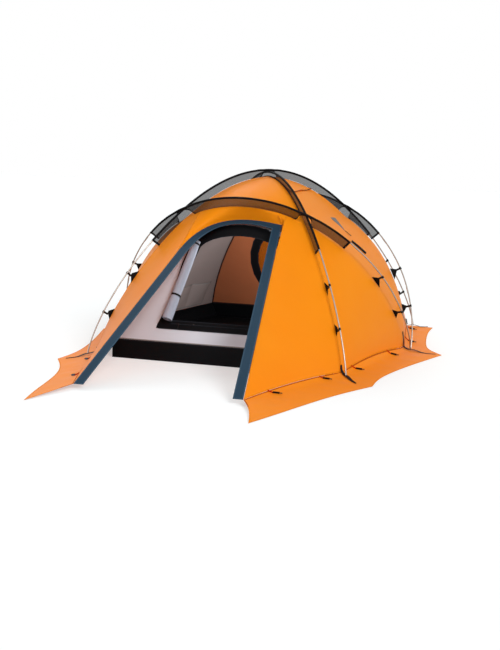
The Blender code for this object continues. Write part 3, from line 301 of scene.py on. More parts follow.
def skin_of(node, name, facing=None, fold=50, middle=HUB):
    """One side of a CAD cloth as a new object: its faces that look out from the middle, or the way
    that facing says, without the cut edges. Without a fold, every outward face is taken."""
    bm = bmesh_of(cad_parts[node].data)
    bmesh.ops.remove_doubles(bm, verts=bm.verts, dist=WELD)
    bmesh.ops.dissolve_degenerate(bm, edges=bm.edges, dist=1e-5)
    bm.normal_update()

    def outward(face):
        way = Vector(facing) if facing else face.calc_center_median() - middle
        return face.normal.dot(way.normalized())

    start = max(bm.faces, key=lambda face: outward(face) * face.calc_area())
    kept, waiting = {start}, [start]
    while waiting:
        face = waiting.pop()
        for edge in face.edges:
            for other in edge.link_faces:
                if other not in kept and other.normal.angle(face.normal, 3) < math.radians(fold or 0):
                    kept.add(other)
                    waiting.append(other)
    if fold is None:
        kept = {face for face in bm.faces if outward(face) > 0.05}
    bmesh.ops.delete(bm, geom=[f for f in bm.faces if f not in kept], context="FACES")
    bmesh.ops.join_triangles(bm, faces=bm.faces, angle_face_threshold=math.radians(40),
        angle_shape_threshold=math.radians(50))
    return placed(name, plain_mesh(bm, name))


def apply(made, kind, **settings):
    """Adds a modifier, sets it and applies it."""
    pick(made)
    modifier = made.modifiers.new("Step", kind)
    for key, value in settings.items():
        setattr(modifier, key, value)
    bpy.ops.object.modifier_apply(modifier=modifier.name)


def edge_loops(made):
    """The open edges of a cloth as closed chains of vertex numbers, all turning the same way."""
    bm = bmesh_of(made.data)
    after = {}
    for edge in bm.edges:
        if edge.is_boundary:
            loop = edge.link_loops[0]
            after[loop.vert.index] = loop.link_loop_next.vert.index
    bm.free()
    chains = []
    while after:
        at = next(iter(after))
        chain = []
        while at in after:
            chain.append(at)
            at = after.pop(at)
        if len(chain) > 3:
            chains.append(chain)
    return chains


def rounder(made, levels):
    """Subdivides a cloth into a smooth form. The corners of its outline stay sharp."""
    mesh = made.data
    kept = mesh.attributes.new("crease_vert", "FLOAT", "POINT")
    for chain in edge_loops(made):
        for i, index in enumerate(chain):
            before, at, after = (mesh.vertices[chain[j % len(chain)]].co for j in (i - 1, i, i + 1))
            if (at - before).angle(after - at, 0) > CORNER:
                kept.data[index].value = 1.0
    apply(made, "SUBSURF", levels=levels, render_levels=levels, boundary_smooth="PRESERVE_CORNERS")


def flat_map(made, name="Cloth"):
    """Maps a cloth in metres on its own mean plane, with V up the cloth, and gives its size."""
    mesh = made.data
    normal = sum((face.normal * face.area for face in mesh.polygons), Vector()).normalized()
    up = Vector((0, 0, 1)) if abs(normal.z) < 0.98 else Vector((0, 1, 0))
    across = up.cross(normal).normalized()
    up = normal.cross(across)
    layer = mesh.uv_layers.new(name=name)
    spots = [(vert.co.dot(across), vert.co.dot(up)) for vert in mesh.vertices]
    for loop in mesh.loops:
        layer.data[loop.index].uv = spots[loop.vertex_index]
    return [max(side) - min(side) for side in zip(*spots)]


def area_of(made):
    return sum(face.area for face in made.data.polygons)


def clamp(share):
    return min(1.0, max(0.0, share))


def ruffle(made, depth, size, pulls=(), pull_depth=0.0, fade=0.07, seed=0.0):
    """Moves the cloth in and out: wide slack waves, and folds that run out from the places that
    hold it. Its edges stay where they are sewn."""
    mesh = made.data
    rim = [mesh.vertices[i].co.copy() for chain in edge_loops(made) for i in chain]
    ends = BVHTree.FromPolygons(
        [p + Vector(o) for p in rim for o in ((0, 0, 0), (1e-4, 0, 0), (0, 1e-4, 0))],
        [(3 * i, 3 * i + 1, 3 * i + 2) for i in range(len(rim))])
    normals = [vert.normal.copy() for vert in mesh.vertices]
    for vert, normal in zip(mesh.vertices, normals):
        near = min(1.0, ends.find_nearest(vert.co)[3] / fade)
        near = near * near * (3 - 2 * near)
        place = vert.co / size + Vector((seed, seed * 1.7, seed * 0.3))
        move = depth * noise.fractal(place, 0.9, 2.0, 2)
        for anchor, reach, count in pulls:
            away = vert.co - Vector(anchor)
            share = max(0.0, 1 - away.length / reach)
            flat = away - normal * away.dot(normal)
            side = normal.orthogonal().normalized()
            turn = math.atan2(flat.dot(side), flat.dot(normal.cross(side)))
            move += pull_depth * share ** 1.5 * math.sin(count * turn + seed) * (away.length / reach)
        vert.co += normal * move * near
    mesh.update()


def ribbon_faces(bm, points, across, width, thickness, slot, closed=False):
    """Adds a flat tape along the points to a mesh. across gives the way its width runs at each."""
    layer = bm.loops.layers.uv.get("Edge") or bm.loops.layers.uv.new("Edge")
    count = len(points)
    rows, run = [], [0.0]
    for i, point in enumerate(points):
        before = points[i - 1] if closed or i else point
        after = points[(i + 1) % count] if closed or i < count - 1 else point
        lift = (after - before).cross(across[i]).normalized() * thickness / 2
        half = across[i] * width / 2
        rows.append([bm.verts.new(point + half * a + lift * b)
            for a, b in ((-1, -1), (-1, 1), (1, 1), (1, -1))])
        run.append(run[-1] + (points[(i + 1) % count] - point).length)
    for i in range(count if closed else count - 1):
        for k in range(4):
            m = (k + 1) % 4
            spots = ((i, k), (i + 1, k), (i + 1, m), (i, m))
            face = bm.faces.new([rows[a % count][b] for a, b in spots])
            face.material_index = slot
            for loop, (a, b) in zip(face.loops, spots):
                loop[layer].uv = (run[a], 0 if b < 2 else width)
    if not closed:
        for row in (rows[0][::-1], rows[-1]):
            bm.faces.new(row).material_index = slot


def hem_lines(made, width, rise):
    """For each open edge of a cloth, the middle line of the hem along it and the way inwards."""
    mesh = made.data
    faces_at = {}
    for face in mesh.polygons:
        for i in face.vertices:
            faces_at.setdefault(i, []).append(face)
    found = []
    for chain in edge_loops(made):
        places = [mesh.vertices[i].co.copy() for i in chain]
        line, ways = [], []
        for i, index in enumerate(chain):
            normal = middle_of([face.normal for face in faces_at[index]]).normalized()
            stretches = ((places[i - 1], places[i]), (places[i], places[(i + 1) % len(chain)]))
            inwards = middle_of([
                normal.cross(b - a).normalized() for a, b in stretches if (b - a).length > 1e-7])
            inwards = inwards / max(inwards.length_squared, 0.4)
            line.append(places[i] + inwards * width * 0.5 + normal * rise * 0.5)
            ways.append(inwards)
        found.append((line, ways))
    return sorted(found, key=lambda pair: -length_of(pair[0]))


def finish_cloth(made, cloth, edge, width, rise, thickness=CLOTH_THICKNESS, inner_edge=None):
    """Gives a cloth its thickness and sews its turned edges all round."""
    lines = hem_lines(made, width, rise)
    made["cloth_area"], made["cloth_edge"] = area_of(made), sum(length_of(line) for line, _ in lines)
    for finish in (cloth, edge, inner_edge or edge):
        made.data.materials.append(finish)
    apply(made, "SOLIDIFY", thickness=thickness, offset=-1)
    bm = bmesh_of(made.data)
    for i, (line, ways) in enumerate(lines):
        ribbon_faces(bm, line, ways, width, rise, 1 if i == 0 else 2, closed=True)
    bmesh.ops.recalc_face_normals(bm, faces=[f for f in bm.faces if f.material_index])
    write_back(bm, made.data)
    bpy.ops.object.shade_smooth_by_angle(angle=math.radians(50))


def declare(made, body, cut):
    """Tells the frame what a cloth rides on. It also works out the size that the cloth was cut to, but does
    not keep it.
    """
    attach(made, body)
    wide, tall = cut
    area, around = made.pop("cloth_area"), made.pop("cloth_edge")
    if area < 0.32 * wide * tall:  # a narrow tape: its length is half of its edge
        tall = around / 2
        wide = area / tall


# Orange polyester ripstop with a polyurethane coating. The yarn gives it a slight sheen at low
# angles, light comes through it, and heavier threads make a fine grid. The real grid is 5 mm,
# too fine to show, so it is drawn at 9 mm.
RIPSTOP = 0.009


def ripstop(name, deep, light, roughness=0.5, glow=0.0, shine=0.05, sheen=0.0, grid=RIPSTOP,
        crinkle=0.25):
    """A coated ripstop: mottled between two near colours, with its grid and small crinkles."""
    made = new_material(name)
    spot = add(made, "UVMap", uv_map="Cloth")
    place = add(made, "TexCoord").outputs["Object"]
    threads = add(made, "TexBrick", {
        "Vector": spot, "Scale": 1.0 / grid, "Mortar Size": 0.07, "Mortar Smooth": 0.6,
        "Brick Width": 1.0, "Row Height": 1.0}, offset=0.0, squash=1.0).outputs["Fac"]
    patches = add(made, "TexNoise", {"Vector": place, "Scale": 2.2, "Detail": 3, "Roughness": 0.5})
    colour = add(made, "Mix", {0: patches, MIX_A: linear(deep), MIX_B: linear(light)},
        data_type="RGBA")
    lines = add(made, "Math", {0: threads, 1: 0.16}, operation="MULTIPLY")
    lined = add(made, "Mix", {0: lines, MIX_A: colour, MIX_B: linear(light)}, data_type="RGBA")
    creases = add(made, "TexNoise", {
        "Vector": place, "Scale": 16, "Detail": 4, "Roughness": 0.55, "Distortion": 0.6})
    relief = add(made, "Math", {0: threads, 1: 0.04, 2: creases}, operation="MULTIPLY_ADD")
    bump = add(made, "Bump", {"Height": relief, "Strength": crinkle, "Distance": 0.004})
    shader = add(made, "BsdfPrincipled", {
        "Base Color": lined, "Normal": bump, "Roughness": roughness, "Specular IOR Level": shine,
        "Sheen Weight": sheen, "Sheen Roughness": 0.3, "Sheen Tint": linear("#FFE4D2")})
    through = add(made, "BsdfTranslucent", {"Color": lined, "Normal": bump})
    mixed = add(made, "MixShader", {0: glow, 1: shader, 2: through})
    add(made, "OutputMaterial", {"Surface": mixed})
    return made


def stitched(name, cloth, thread, roughness=0.55, stitch=0.0045, rows=(0.0022, 0.0075), fine=0.0009):
    """A folded cloth edge or tape with rows of stitches along it, from its Edge map."""
    made = new_material(name)
    spot = add(made, "UVMap", uv_map="Edge")
    parts = add(made, "SeparateXYZ", {"Vector": spot}).outputs
    pitch = add(made, "Math", {0: parts["X"], 1: stitch * 1.5}, operation="DIVIDE")
    turn = add(made, "Math", {0: pitch}, operation="FRACT")
    dash = add(made, "Math", {0: turn, 1: 0.68}, operation="LESS_THAN")
    found = None
    for row in rows:
        hit = add(made, "Math", {0: parts["Y"], 1: row, 2: fine}, operation="COMPARE")
        found = add(made, "Math", {0: found, 1: hit}, operation="MAXIMUM") if found else hit
    sewn = add(made, "Math", {0: found, 1: dash}, operation="MULTIPLY")
    place = add(made, "TexCoord").outputs["Object"]
    worn = add(made, "TexNoise", {"Vector": place, "Scale": 60, "Detail": 3})
    base = add(made, "Mix", {0: worn, MIX_A: linear(cloth[0]), MIX_B: linear(cloth[1])},
        data_type="RGBA")
    colour = add(made, "Mix", {0: sewn, MIX_A: base, MIX_B: linear(thread)}, data_type="RGBA")
    height = add(made, "Math", {0: worn, 1: 0.35, 2: sewn}, operation="MULTIPLY_ADD")
    bump = add(made, "Bump", {"Height": height, "Strength": 0.5, "Distance": 0.0012})
    shader = add(made, "BsdfPrincipled", {
        "Base Color": colour, "Normal": bump, "Roughness": roughness, "Specular IOR Level": 0.06})
    add(made, "OutputMaterial", {"Surface": shader})
    return made


orange = ripstop("orange_coated_ripstop", "#F89008", "#FE9E10", roughness=0.48, glow=0.22, shine=0.11,
    sheen=0.22)
orange_edge = stitched("orange_sewn_edge", ("#F28A10", "#FA9716"), "#C8700E")

FLY_PANELS = {
    "fly_porch_right": ("pole_diagonal_right", "door_band"),
    "fly_porch_left": ("pole_diagonal_left", "door_band"),
    "fly_porch_hood": ("pole_cross_front", "door_band"),
    "fly_roof_front": ("pole_diagonal_right", "pole_diagonal_left", "pole_cross_front"),
    "fly_roof_rear": ("pole_diagonal_right", "pole_diagonal_left", "pole_cross_rear"),
    "fly_side_right": ("pole_diagonal_right", "pole_cross_front", "pole_cross_rear"),
    "fly_side_left": ("pole_diagonal_left", "pole_cross_front", "pole_cross_rear"),
}
# The porch front's plane: its foot, the way up it and the way out of it. The door's right leg runs
# up it at x = LEG_X - LEG_LEAN * up, to the door's corner.
PORCH_FOOT = Vector((0, -2.10, 0.03))
PORCH_UP = Vector((0, 1.57, 0.945)).normalized()
PORCH_OUT = Vector((0, -0.945, 1.57)).normalized()
LEG_X, LEG_LEAN = 0.538, 0.141
DOOR_CORNER_UP, HOOD_TOP_UP = 1.735, 1.788
TONGUE_UP, TONGUE_SLOPE = 1.40, 0.0698  # where the hood's narrow tongue ends, and how fast it widens
HOOD_SEAM_WIDTH = 0.004  # for the tongue
hook_places = [middle_of([Vector(corner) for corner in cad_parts[name].bound_box])
    for name in sorted(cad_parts) if name.startswith("hook_")]
for seed, (node, held_by) in enumerate(FLY_PANELS.items()):
    panel = skin_of(node, f"{node}_cloth")
    rounder(panel, 3)
    if node == "fly_porch_hood":
        for vert in panel.data.vertices:  # its corner is cut square round the door tape's
            away = vert.co - PORCH_FOOT
            up = away.dot(PORCH_UP)
            height = away.dot(PORCH_OUT)
            if vert.co.x < 0.15 or up < TONGUE_UP:
                continue
            past = vert.co.x - (LEG_X - LEG_LEAN * up)
            above = max(0.0, up - DOOR_CORNER_UP)
            crease = TONGUE_SLOPE * (up - TONGUE_UP)
            lean = 0.4 * height
            near = clamp(1 + (past + lean) / 0.06) * clamp((HOOD_TOP_UP - up) / 0.02)
            past += max(0.0, min(0.0004 + 0.635 * height, crease) - max(past, -lean)) * near
            ramp = 0.0004 + 1.576 * max(past, 0.0) + 2.5 * above
            lower = max(0.0, height - ramp) * clamp(1 + past / 0.03)
            lower = max(lower, height - (0.0006 + 0.1129 * (up - 1.4034) + 0.5 * (crease - past)))
            vert.co.x = past + LEG_X - LEG_LEAN * up
            vert.co -= PORCH_OUT * lower
    cut = flat_map(panel)
    near_hooks = [(place, 0.4, 7) for place in hook_places]
    ruffle(panel, 0.0025, 0.35, near_hooks, 0.0016, fade=0.09, seed=seed * 3.1)
    seam = HOOD_SEAM_WIDTH if node == "fly_porch_hood" else SEAM_WIDTH
    finish_cloth(panel, orange, orange_edge, seam, SEAM_RISE)
    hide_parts(node)
    declare(panel, "tent", cut)

# The rear wall has an arched door in it, closed with a black coil zip. The door is hinged by its
# sewn sill and swings down.
black_tape = stitched("black_zip_tape", ("#15161A", "#1E2025"), "#2C2E33", 0.6)
FOLD = math.radians(15)  # an edge that bends more than this is a fold of the cloth


def refine(made, longest=0.03):
    """Cuts a cloth's faces until no edge is longer than that."""
    bm = bmesh_of(made.data)
    bmesh.ops.triangulate(bm, faces=bm.faces)
    for _ in range(12):
        long_edges = [edge for edge in bm.edges if edge.calc_length() > longest]
        if not long_edges:
            break
        bmesh.ops.subdivide_edges(bm, edges=long_edges, cuts=1)
        bmesh.ops.triangulate(bm, faces=[f for f in bm.faces if len(f.verts) > 3])
    bmesh.ops.beautify_fill(bm, faces=bm.faces, edges=[
        e for e in bm.edges if not e.is_boundary and e.calc_face_angle(0) < FOLD])
    write_back(bm, made.data)


def even_out(made, rounds):
    """Smooths a cloth's inside and leaves its edges."""
    bm = bmesh_of(made.data)
    inside = [vert for vert in bm.verts if not vert.is_boundary]
    for _ in range(rounds):
        bmesh.ops.smooth_vert(bm, verts=inside, factor=0.5, use_axis_x=True, use_axis_y=True,
            use_axis_z=True)
    write_back(bm, made.data)


for node, body, held_by in (
    ("fly_rear_wall", "tent", ("pole_diagonal_right", "pole_diagonal_left", "pole_cross_rear")),
    ("fly_rear_door", "rear_door", ("fly_rear_wall",)),
):
    panel = skin_of(node, f"{node}_cloth")
    refine(panel)
    even_out(panel, 25)
    cut = flat_map(panel)
    ruffle(panel, 0.002, 0.3, fade=0.06, seed=31.0)
    rear_zip = hem_lines(panel, 0.004, 0.003)[0]
    finish_cloth(panel, orange, orange_edge, SEAM_WIDTH, SEAM_RISE, inner_edge=black_tape)
    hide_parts(node)
    declare(panel, body, cut)

# The cape over the roof vent on the right. Its lower edge is free and waves a little. Its bound
# edge is dark, which is painted shadow: the shade of the gap under the free edge.
cape_edge_painted_shadow = stitched("cape_edge_painted_gap_shadow", ("#5A2412", "#6B2C16"), "#40180C", 0.6)
cape = skin_of("vent_cape", "vent_cape_cloth")
rounder(cape, 3)
cut = flat_map(cape)
finish_cloth(cape, orange, cape_edge_painted_shadow, 0.006, SEAM_RISE)
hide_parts("vent_cape")
declare(cape, "tent", cut)

# Snow skirts: the same orange cloth, sewn along the fly's hem and spread on the ground to be
# weighted down. They lie in low waves and end in pointed tips.
# A real seam joins skirt and fly; its darker orange is painted shade of the crease there.
skirt_seam_painted_shade = stitched("skirt_seam_painted_crease_shade", ("#C25808", "#CE620C"), "#7A3404", 0.7)
SEAM_HEIGHT = 0.022  # the skirt's edge lies on the ground below this and is sewn to the fly above
for seed, (node, hung) in enumerate((
    ("skirt_right", ("fly_porch_right_cloth", "fly_side_right_cloth")),
    ("skirt_left", ("fly_porch_left_cloth", "fly_side_left_cloth")),
    ("skirt_rear", ("fly_rear_wall_cloth",)),
)):
    skirt = skin_of(node, f"{node}_cloth", facing=(0, 0, 1), fold=60)
    rounder(skirt, 3)
    cut = flat_map(skirt)
    ruffle(skirt, 0.004, 0.16, fade=0.05, seed=50 + seed * 7)
    for vert in skirt.data.vertices:
        vert.co.z = max(vert.co.z, CLOTH_THICKNESS)
    finish_cloth(skirt, orange, orange_edge, 0.008, SEAM_RISE, inner_edge=skirt_seam_painted_shade)
    # Hem faces above the seam height get the seam's darker colour, the painted crease shade.
    for face in skirt.data.polygons:
        if face.material_index == 1 and face.center.z > SEAM_HEIGHT:
            face.material_index = 2
    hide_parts(node)
    declare(skirt, "tent", cut)

# Pole sleeves: a fin of black see-through mesh, sewn along the fly's seams, with a close-woven
# black channel along its top for the pole. Its ends and the cut-outs at the crossings are bound.
SLEEVE_RADIUS = 0.0078
FIN_ROWS = 4
MESH_HOLE = 0.004  # as drawn, because the real ones are too fine to show
NOTCH_SHARE = 0.82  # the fin is cut out where it is lower than this share of its height nearby


def netting(name, most, least):
    """A black see-through mesh. The shares say how much light passes in its holes and its yarn."""
    made = new_material(name)
    spot = add(made, "UVMap", uv_map="Cloth")
    holes = add(made, "TexVoronoi", {"Vector": spot, "Scale": 1 / MESH_HOLE, "Randomness": 0.15},
        voronoi_dimensions="2D")
    open_share = add(made, "MapRange", {
        "Value": holes, "From Min": 0.2, "From Max": 0.5, "To Min": most, "To Max": least})
    yarn = add(made, "BsdfPrincipled", {
        "Base Color": linear("#1B1B1D"), "Roughness": 0.7, "Specular IOR Level": 0.1,
        "Sheen Weight": 0.12, "Sheen Roughness": 0.4, "Sheen Tint": linear("#A8ADB6")})
    clear = add(made, "BsdfTransparent")
    netted = add(made, "MixShader", {0: open_share, 1: yarn, 2: clear})
    add(made, "OutputMaterial", {"Surface": netted})
    return made


mesh_cloth = netting("black_polyester_mesh", 0.32, 0.15)
black_cloth = ripstop("black_pack_cloth", "#0D0D0F", "#141416", roughness=0.6, grid=0.004, crinkle=0.3)
black_webbing = stitched("black_nylon_webbing", ("#0B0B0D", "#131315"), "#202225", 0.55,
    stitch=0.003, rows=(0.0015, 0.004, 0.0065, 0.009), fine=0.0006)


def centre_at(word, heading, angle):
    """The pole's middle at an angle about the hub."""
    line = pole_lines[word]
    angles = [arch_angle(point, heading) for point in line]
    for a, b, low, high in zip(line, line[1:], angles, angles[1:]):
        if low <= angle <= high:
            return a.lerp(b, (angle - low) / (high - low))
    raise ValueError("outside the pole")


def curved(points, steps):
    """A line of points with more points between them, on a smooth curve."""
    made = []
    for i in range(len(points) - 1):
        before, a = points[max(i - 1, 0)], points[i]
        b, after = points[i + 1], points[min(i + 2, len(points) - 1)]
        for k in range(steps):
            t = k / steps
            made.append(0.5 * (2 * a + (b - before) * t + (2 * before - 5 * a + 4 * b - after) * t * t
                + (3 * a - before - 3 * b + after) * t ** 3))
    return made + [points[-1].copy()]


def ribbon(name, points, across, width, thickness, finish, closed=False):
    """A flat tape as an object of its own."""
    bm = bmesh.new()
    bm.loops.layers.uv.new("Cloth")
    ribbon_faces(bm, points, across, width, thickness, 0, closed)
    bmesh.ops.recalc_face_normals(bm, faces=bm.faces)
    made = placed(name, bpy.data.meshes.new(name))
    write_back(bm, made.data)
    made.data.materials.append(finish)
    return made


for word, heading in HEADINGS.items():
    feet, centres = [], []
    for section in arch_sections(f"sleeve_{word}", heading):
        foot = min(section, key=lambda point: (point - HUB).length)
        feet.append(foot)
        centres.append(centre_at(word, heading, arch_angle(foot, heading)))
    feet, centres = curved(feet, 3), curved(centres, 3)
    bm = bmesh.new()
    layer = bm.loops.layers.uv.new("Cloth")
    rows, run = [], [0.0]
    for foot, centre in zip(feet, centres):
        top = centre + (foot - centre).normalized() * POLE_RADIUS
        rows.append([bm.verts.new(foot.lerp(top, k / FIN_ROWS)) for k in range(FIN_ROWS + 1)])
    for a, b in zip(centres, centres[1:]):
        run.append(run[-1] + (b - a).length)
    for i in range(len(rows) - 1):
        for k in range(FIN_ROWS):
            corners = ((i, k), (i + 1, k), (i + 1, k + 1), (i, k + 1))
            face = bm.faces.new([rows[a][b] for a, b in corners])
            for loop, (a, b) in zip(face.loops, corners):
                loop[layer].uv = (run[a], (rows[a][b].co - rows[a][-1].co).length)
    fin = placed(f"sleeve_{word}_fin", bpy.data.meshes.new(f"sleeve_{word}_fin"))
    write_back(bm, fin.data)
    fin.data.materials.append(mesh_cloth)
    fin.data.shade_smooth()
    reaches = [(foot - centre).length for foot, centre in zip(feet, centres)]
    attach(fin, "tent")

    spaced = [centres[0]]
    for point in centres[1:-1]:
        if (point - spaced[-1]).length > 0.03 and (point - centres[-1]).length > 0.015:
            spaced.append(point)
    channel = rod(f"sleeve_{word}_channel", spaced + [centres[-1]], SLEEVE_RADIUS, black_cloth)
    flat_map(channel)
    bindings = []
    for k, following in ((0, 1), (-1, -2)):
        edge = [feet[k].lerp(centres[k], share) for share in (0, 0.33, 0.66, 1)]
        inwards = (centres[following] - centres[k]).normalized()
        bindings.append(ribbon("binding", [p + inwards * 0.006 for p in edge], [inwards] * 4,
            0.015, 0.0036, black_webbing))
    notch = []
    for i, reach in enumerate(reaches):
        lifted = reach < NOTCH_SHARE * max(reaches[max(0, i - 14):i + 15])
        if lifted:
            notch.append(i)
        if notch and (not lifted or i == len(feet) - 1):
            span = range(max(0, notch[0] - 2), min(len(feet), notch[-1] + 3))
            ups = [(centres[j] - feet[j]).normalized() for j in span]
            bindings.append(ribbon("binding", [feet[j] + up * 0.002 for j, up in zip(span, ups)], ups,
                0.010, 0.0044, black_webbing))
            notch = []
    join(channel, *bindings)
    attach(channel, "tent")
    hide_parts(f"sleeve_{word}")

# Hooks: moulded black acetal clips that snap on the poles, each on a stiff black cloth gusset
# that is sewn into the seam and holds the fly out. The mould's fine grain leaves the acetal dull.
acetal = new_material("moulded_black_acetal")
place = add(acetal, "TexCoord").outputs["Object"]
grain = add(acetal, "TexNoise", {"Vector": place, "Scale": 900, "Detail": 2})
spark = add(acetal, "Bump", {"Height": grain, "Strength": 0.25, "Distance": 0.0003})
moulded = add(acetal, "BsdfPrincipled", {
    "Base Color": linear("#0E0E10"), "Roughness": 0.42, "IOR": 1.48, "Specular IOR Level": 0.25,
    "Normal": spark})
add(acetal, "OutputMaterial", {"Surface": moulded})


def closest_on(line, point):
    """The nearest point of a line of points."""
    spots = []
    for a, b in zip(line, line[1:]):
        share = (point - a).dot(b - a) / (b - a).length_squared
        spots.append(a.lerp(b, clamp(share)))
    return min(spots, key=lambda spot: (point - spot).length)


HOOK_REACH = 0.036  # from the pole's middle to where the gusset's cloth begins
CLIP_RADIUS, CLIP_STRETCH = 0.012, 0.35
for node in sorted(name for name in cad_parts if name.startswith("hook_")):
    bm = bmesh_of(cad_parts[node].data)
    bmesh.ops.remove_doubles(bm, verts=bm.verts, dist=WELD)
    bmesh.ops.dissolve_limit(bm, angle_limit=math.radians(1), verts=bm.verts, edges=bm.edges)
    hook = placed(f"{node}_clip", plain_mesh(bm, f"{node}_clip"))
    apply(hook, "BEVEL", width=0.0004, segments=2, limit_method="ANGLE", angle_limit=math.radians(50))
    hook.data.materials.append(acetal)
    hook.data.materials.append(black_cloth)
    word = ("cross_front" if "_front_" in node else "cross_rear") if "cross" in node else (
        "diagonal_right" if ("front_right" in node or "rear_left" in node) else "diagonal_left")
    line = pole_lines[word]
    nearest = [closest_on(line, vert.co) for vert in hook.data.vertices]
    ring = [(vert.co, spot) for vert, spot in zip(hook.data.vertices, nearest)
        if (vert.co - spot).length < CLIP_RADIUS]
    centre = middle_of([co for co, _ in ring])
    ends = [spot for _, spot in ring]
    along = (max(ends, key=lambda spot: spot.z) - min(ends, key=lambda spot: spot.z)).normalized()
    spread = 0.45 if centre.z > 0.4 else 0.15
    for vert, spot in zip(hook.data.vertices, nearest):  # the clip is stout, the cloth spread wide
        out = clamp(max(0.0, (vert.co - spot).length - HOOK_REACH) / 0.03)
        share = CLIP_STRETCH + (spread - CLIP_STRETCH) * out
        vert.co += along * along.dot(vert.co - centre) * share
    for face in hook.data.polygons:
        away = (face.center - closest_on(line, face.center)).length
        face.material_index = 1 if away > HOOK_REACH else 0
    flat_map(hook)
    hook.data.shade_smooth()
    bpy.ops.object.shade_smooth_by_angle(angle=math.radians(40))
    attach(hook, "tent")
    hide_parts(node)


# Corner straps: black nylon webbing, sewn up the corner seam, out under the pole's foot and
# tapered where it is pegged. Beyond the foot they lie down on the skirt.
def tree_of(*names):
    """The surface of some finished pieces, to lay others on."""
    spots, faces = [], []
    for name in names:
        mesh = bpy.data.objects[name].data
        faces += [[len(spots) + i for i in face.vertices] for face in mesh.polygons]
        spots += [vert.co.copy() for vert in mesh.vertices]
    return BVHTree.FromPolygons(spots, faces)


ground_cloth = tree_of("skirt_right_cloth", "skirt_left_cloth", "skirt_rear_cloth")


def lying(x, y, lift):
    """A point that lies on the skirt or beside it on the ground."""
    hit = ground_cloth.ray_cast(Vector((x, y, 0.5)), Vector((0, 0, -1)))[0]
    return Vector((x, y, (hit.z if hit else 0) + lift))


pole_feet = [line[k] for line in pole_lines.values() for k in (0, -1)]
for node in sorted(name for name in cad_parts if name.startswith("strap_")):
    strap = skin_of(node, f"{node}_webbing", facing=(0, 0, 1), fold=88)
    rounder(strap, 2)
    centre = middle_of([vert.co for vert in strap.data.vertices])
    foot = min(pole_feet, key=lambda one: (one.xy - centre.xy).length)
    for vert in strap.data.vertices:
        if vert.co.xy.length > foot.xy.length:
            share = clamp(max(0.0, (vert.co.xy - foot.xy).length - 0.02) / 0.06)
            vert.co.z += (lying(vert.co.x, vert.co.y, 0.0034).z - vert.co.z) * share
    flat_map(strap)
    flat_map(strap, "Edge")
    strap.data.materials.append(black_webbing)
    apply(strap, "SOLIDIFY", thickness=0.0014, offset=-1)
    strap.data.shade_smooth()
    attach(strap, "tent")
    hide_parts(node)

# Door tape: a wide navy facing of coated polyester round the porch doorway, turned in and
# stitched along both edges. It covers the zip behind it.
navy = ripstop("navy_coated_polyester", "#1F3648", "#253F52", grid=0.003, crinkle=0.2)
navy_edge = stitched("navy_sewn_edge", ("#20384A", "#284356"), "#4A6478", rows=(0.0018, 0.0062))
band = skin_of("door_band", "door_band_tape", facing=(0, -1, 0.5))
refine(band)
cut = flat_map(band)
ruffle(band, 0.0008, 0.2, fade=0.02, seed=80)
finish_cloth(band, navy, navy_edge, 0.008, 0.0008, thickness=0.0018)
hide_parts("door_band")
declare(band, "tent", cut)

# The inner tent's skin: thin breathable polyester, pale grey at the sides and white in front, hung on
# the fly. The back wall's warm tan is painted light, the orange glow through the fly on the same pale
# cloth. Seams run down its corners.
inner_grey, inner_white, inner_painted_orange_light = (
    ripstop(f"{word}_breathable_polyester", *colours, roughness=0.65, glow=glow, grid=0.006, crinkle=0.35)
    for word, glow, colours in (
        ("grey", 0.3, ("#9E9290", "#AC9F9C")),
        ("white", 0.12, ("#D6DAE4", "#E2E5EC")),
        # the back wall: its tan is painted light, the orange glow through the fly on pale cloth
        ("painted_orange_light", 0.25, ("#B86A46", "#C2764E")),
    ))
pale_edge = stitched("grey_sewn_edge", ("#8C8886", "#9A9694"), "#716D6B", 0.65)
dark_seam = stitched("dark_bound_seam", ("#3A2A26", "#44322C"), "#241816", 0.65)
for seed, node in enumerate(("inner_canopy_left", "inner_canopy_right")):
    canopy = skin_of(node, f"{node}_cloth")
    rounder(canopy, 3)
    cut = flat_map(canopy)
    ruffle(canopy, 0.006, 0.3, fade=0.1, seed=90 + seed * 5)
    finish_cloth(canopy, inner_grey, pale_edge, 0.008, SEAM_RISE)
    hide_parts(node)
    declare(canopy, "tent", cut)
for node, facing, finish, slack, fade in (
    ("inner_front_wall", (0, -1, 0.5), inner_white, 0.002, 0.14),
    ("inner_rear_wall", (0, 1, 0.5), inner_painted_orange_light, 0.003, 0.06),
):
    wall = skin_of(node, f"{node}_cloth", facing=facing)
    refine(wall)
    cut = flat_map(wall)
    ruffle(wall, slack, 0.25, fade=fade, seed=100 + cut[0])
    seam_line, seam_ways = hem_lines(wall, 0.004, 0)[0]
    finish_cloth(wall, finish, pale_edge, 0.007, 0.0002)
    if node == "inner_rear_wall":
        room_middle = Vector((0, 0, 0.5))
        join(wall, ribbon("seam", [p + (room_middle - p).normalized() * 0.007 for p in seam_line],
            seam_ways, 0.010, 0.0012, dark_seam, closed=True))
    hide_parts(node)
    declare(wall, "tent", cut)


# A long flat pocket along the foot of the left canopy, sewn down at its ends, its foot and at
# three upright seams. It is of the same grey cloth and sags a little between the seams.
def grid_cloth(name, spots, rows):
    """A new cloth from the places of its columns, each with this many rows of faces."""
    deep = rows + 1
    mesh = bpy.data.meshes.new(name)
    mesh.from_pydata(spots, [], [(a, a + 1, a + deep + 1, a + deep)
        for start in range(0, len(spots) - deep, deep) for a in range(start, start + rows)])
    return placed(name, mesh)


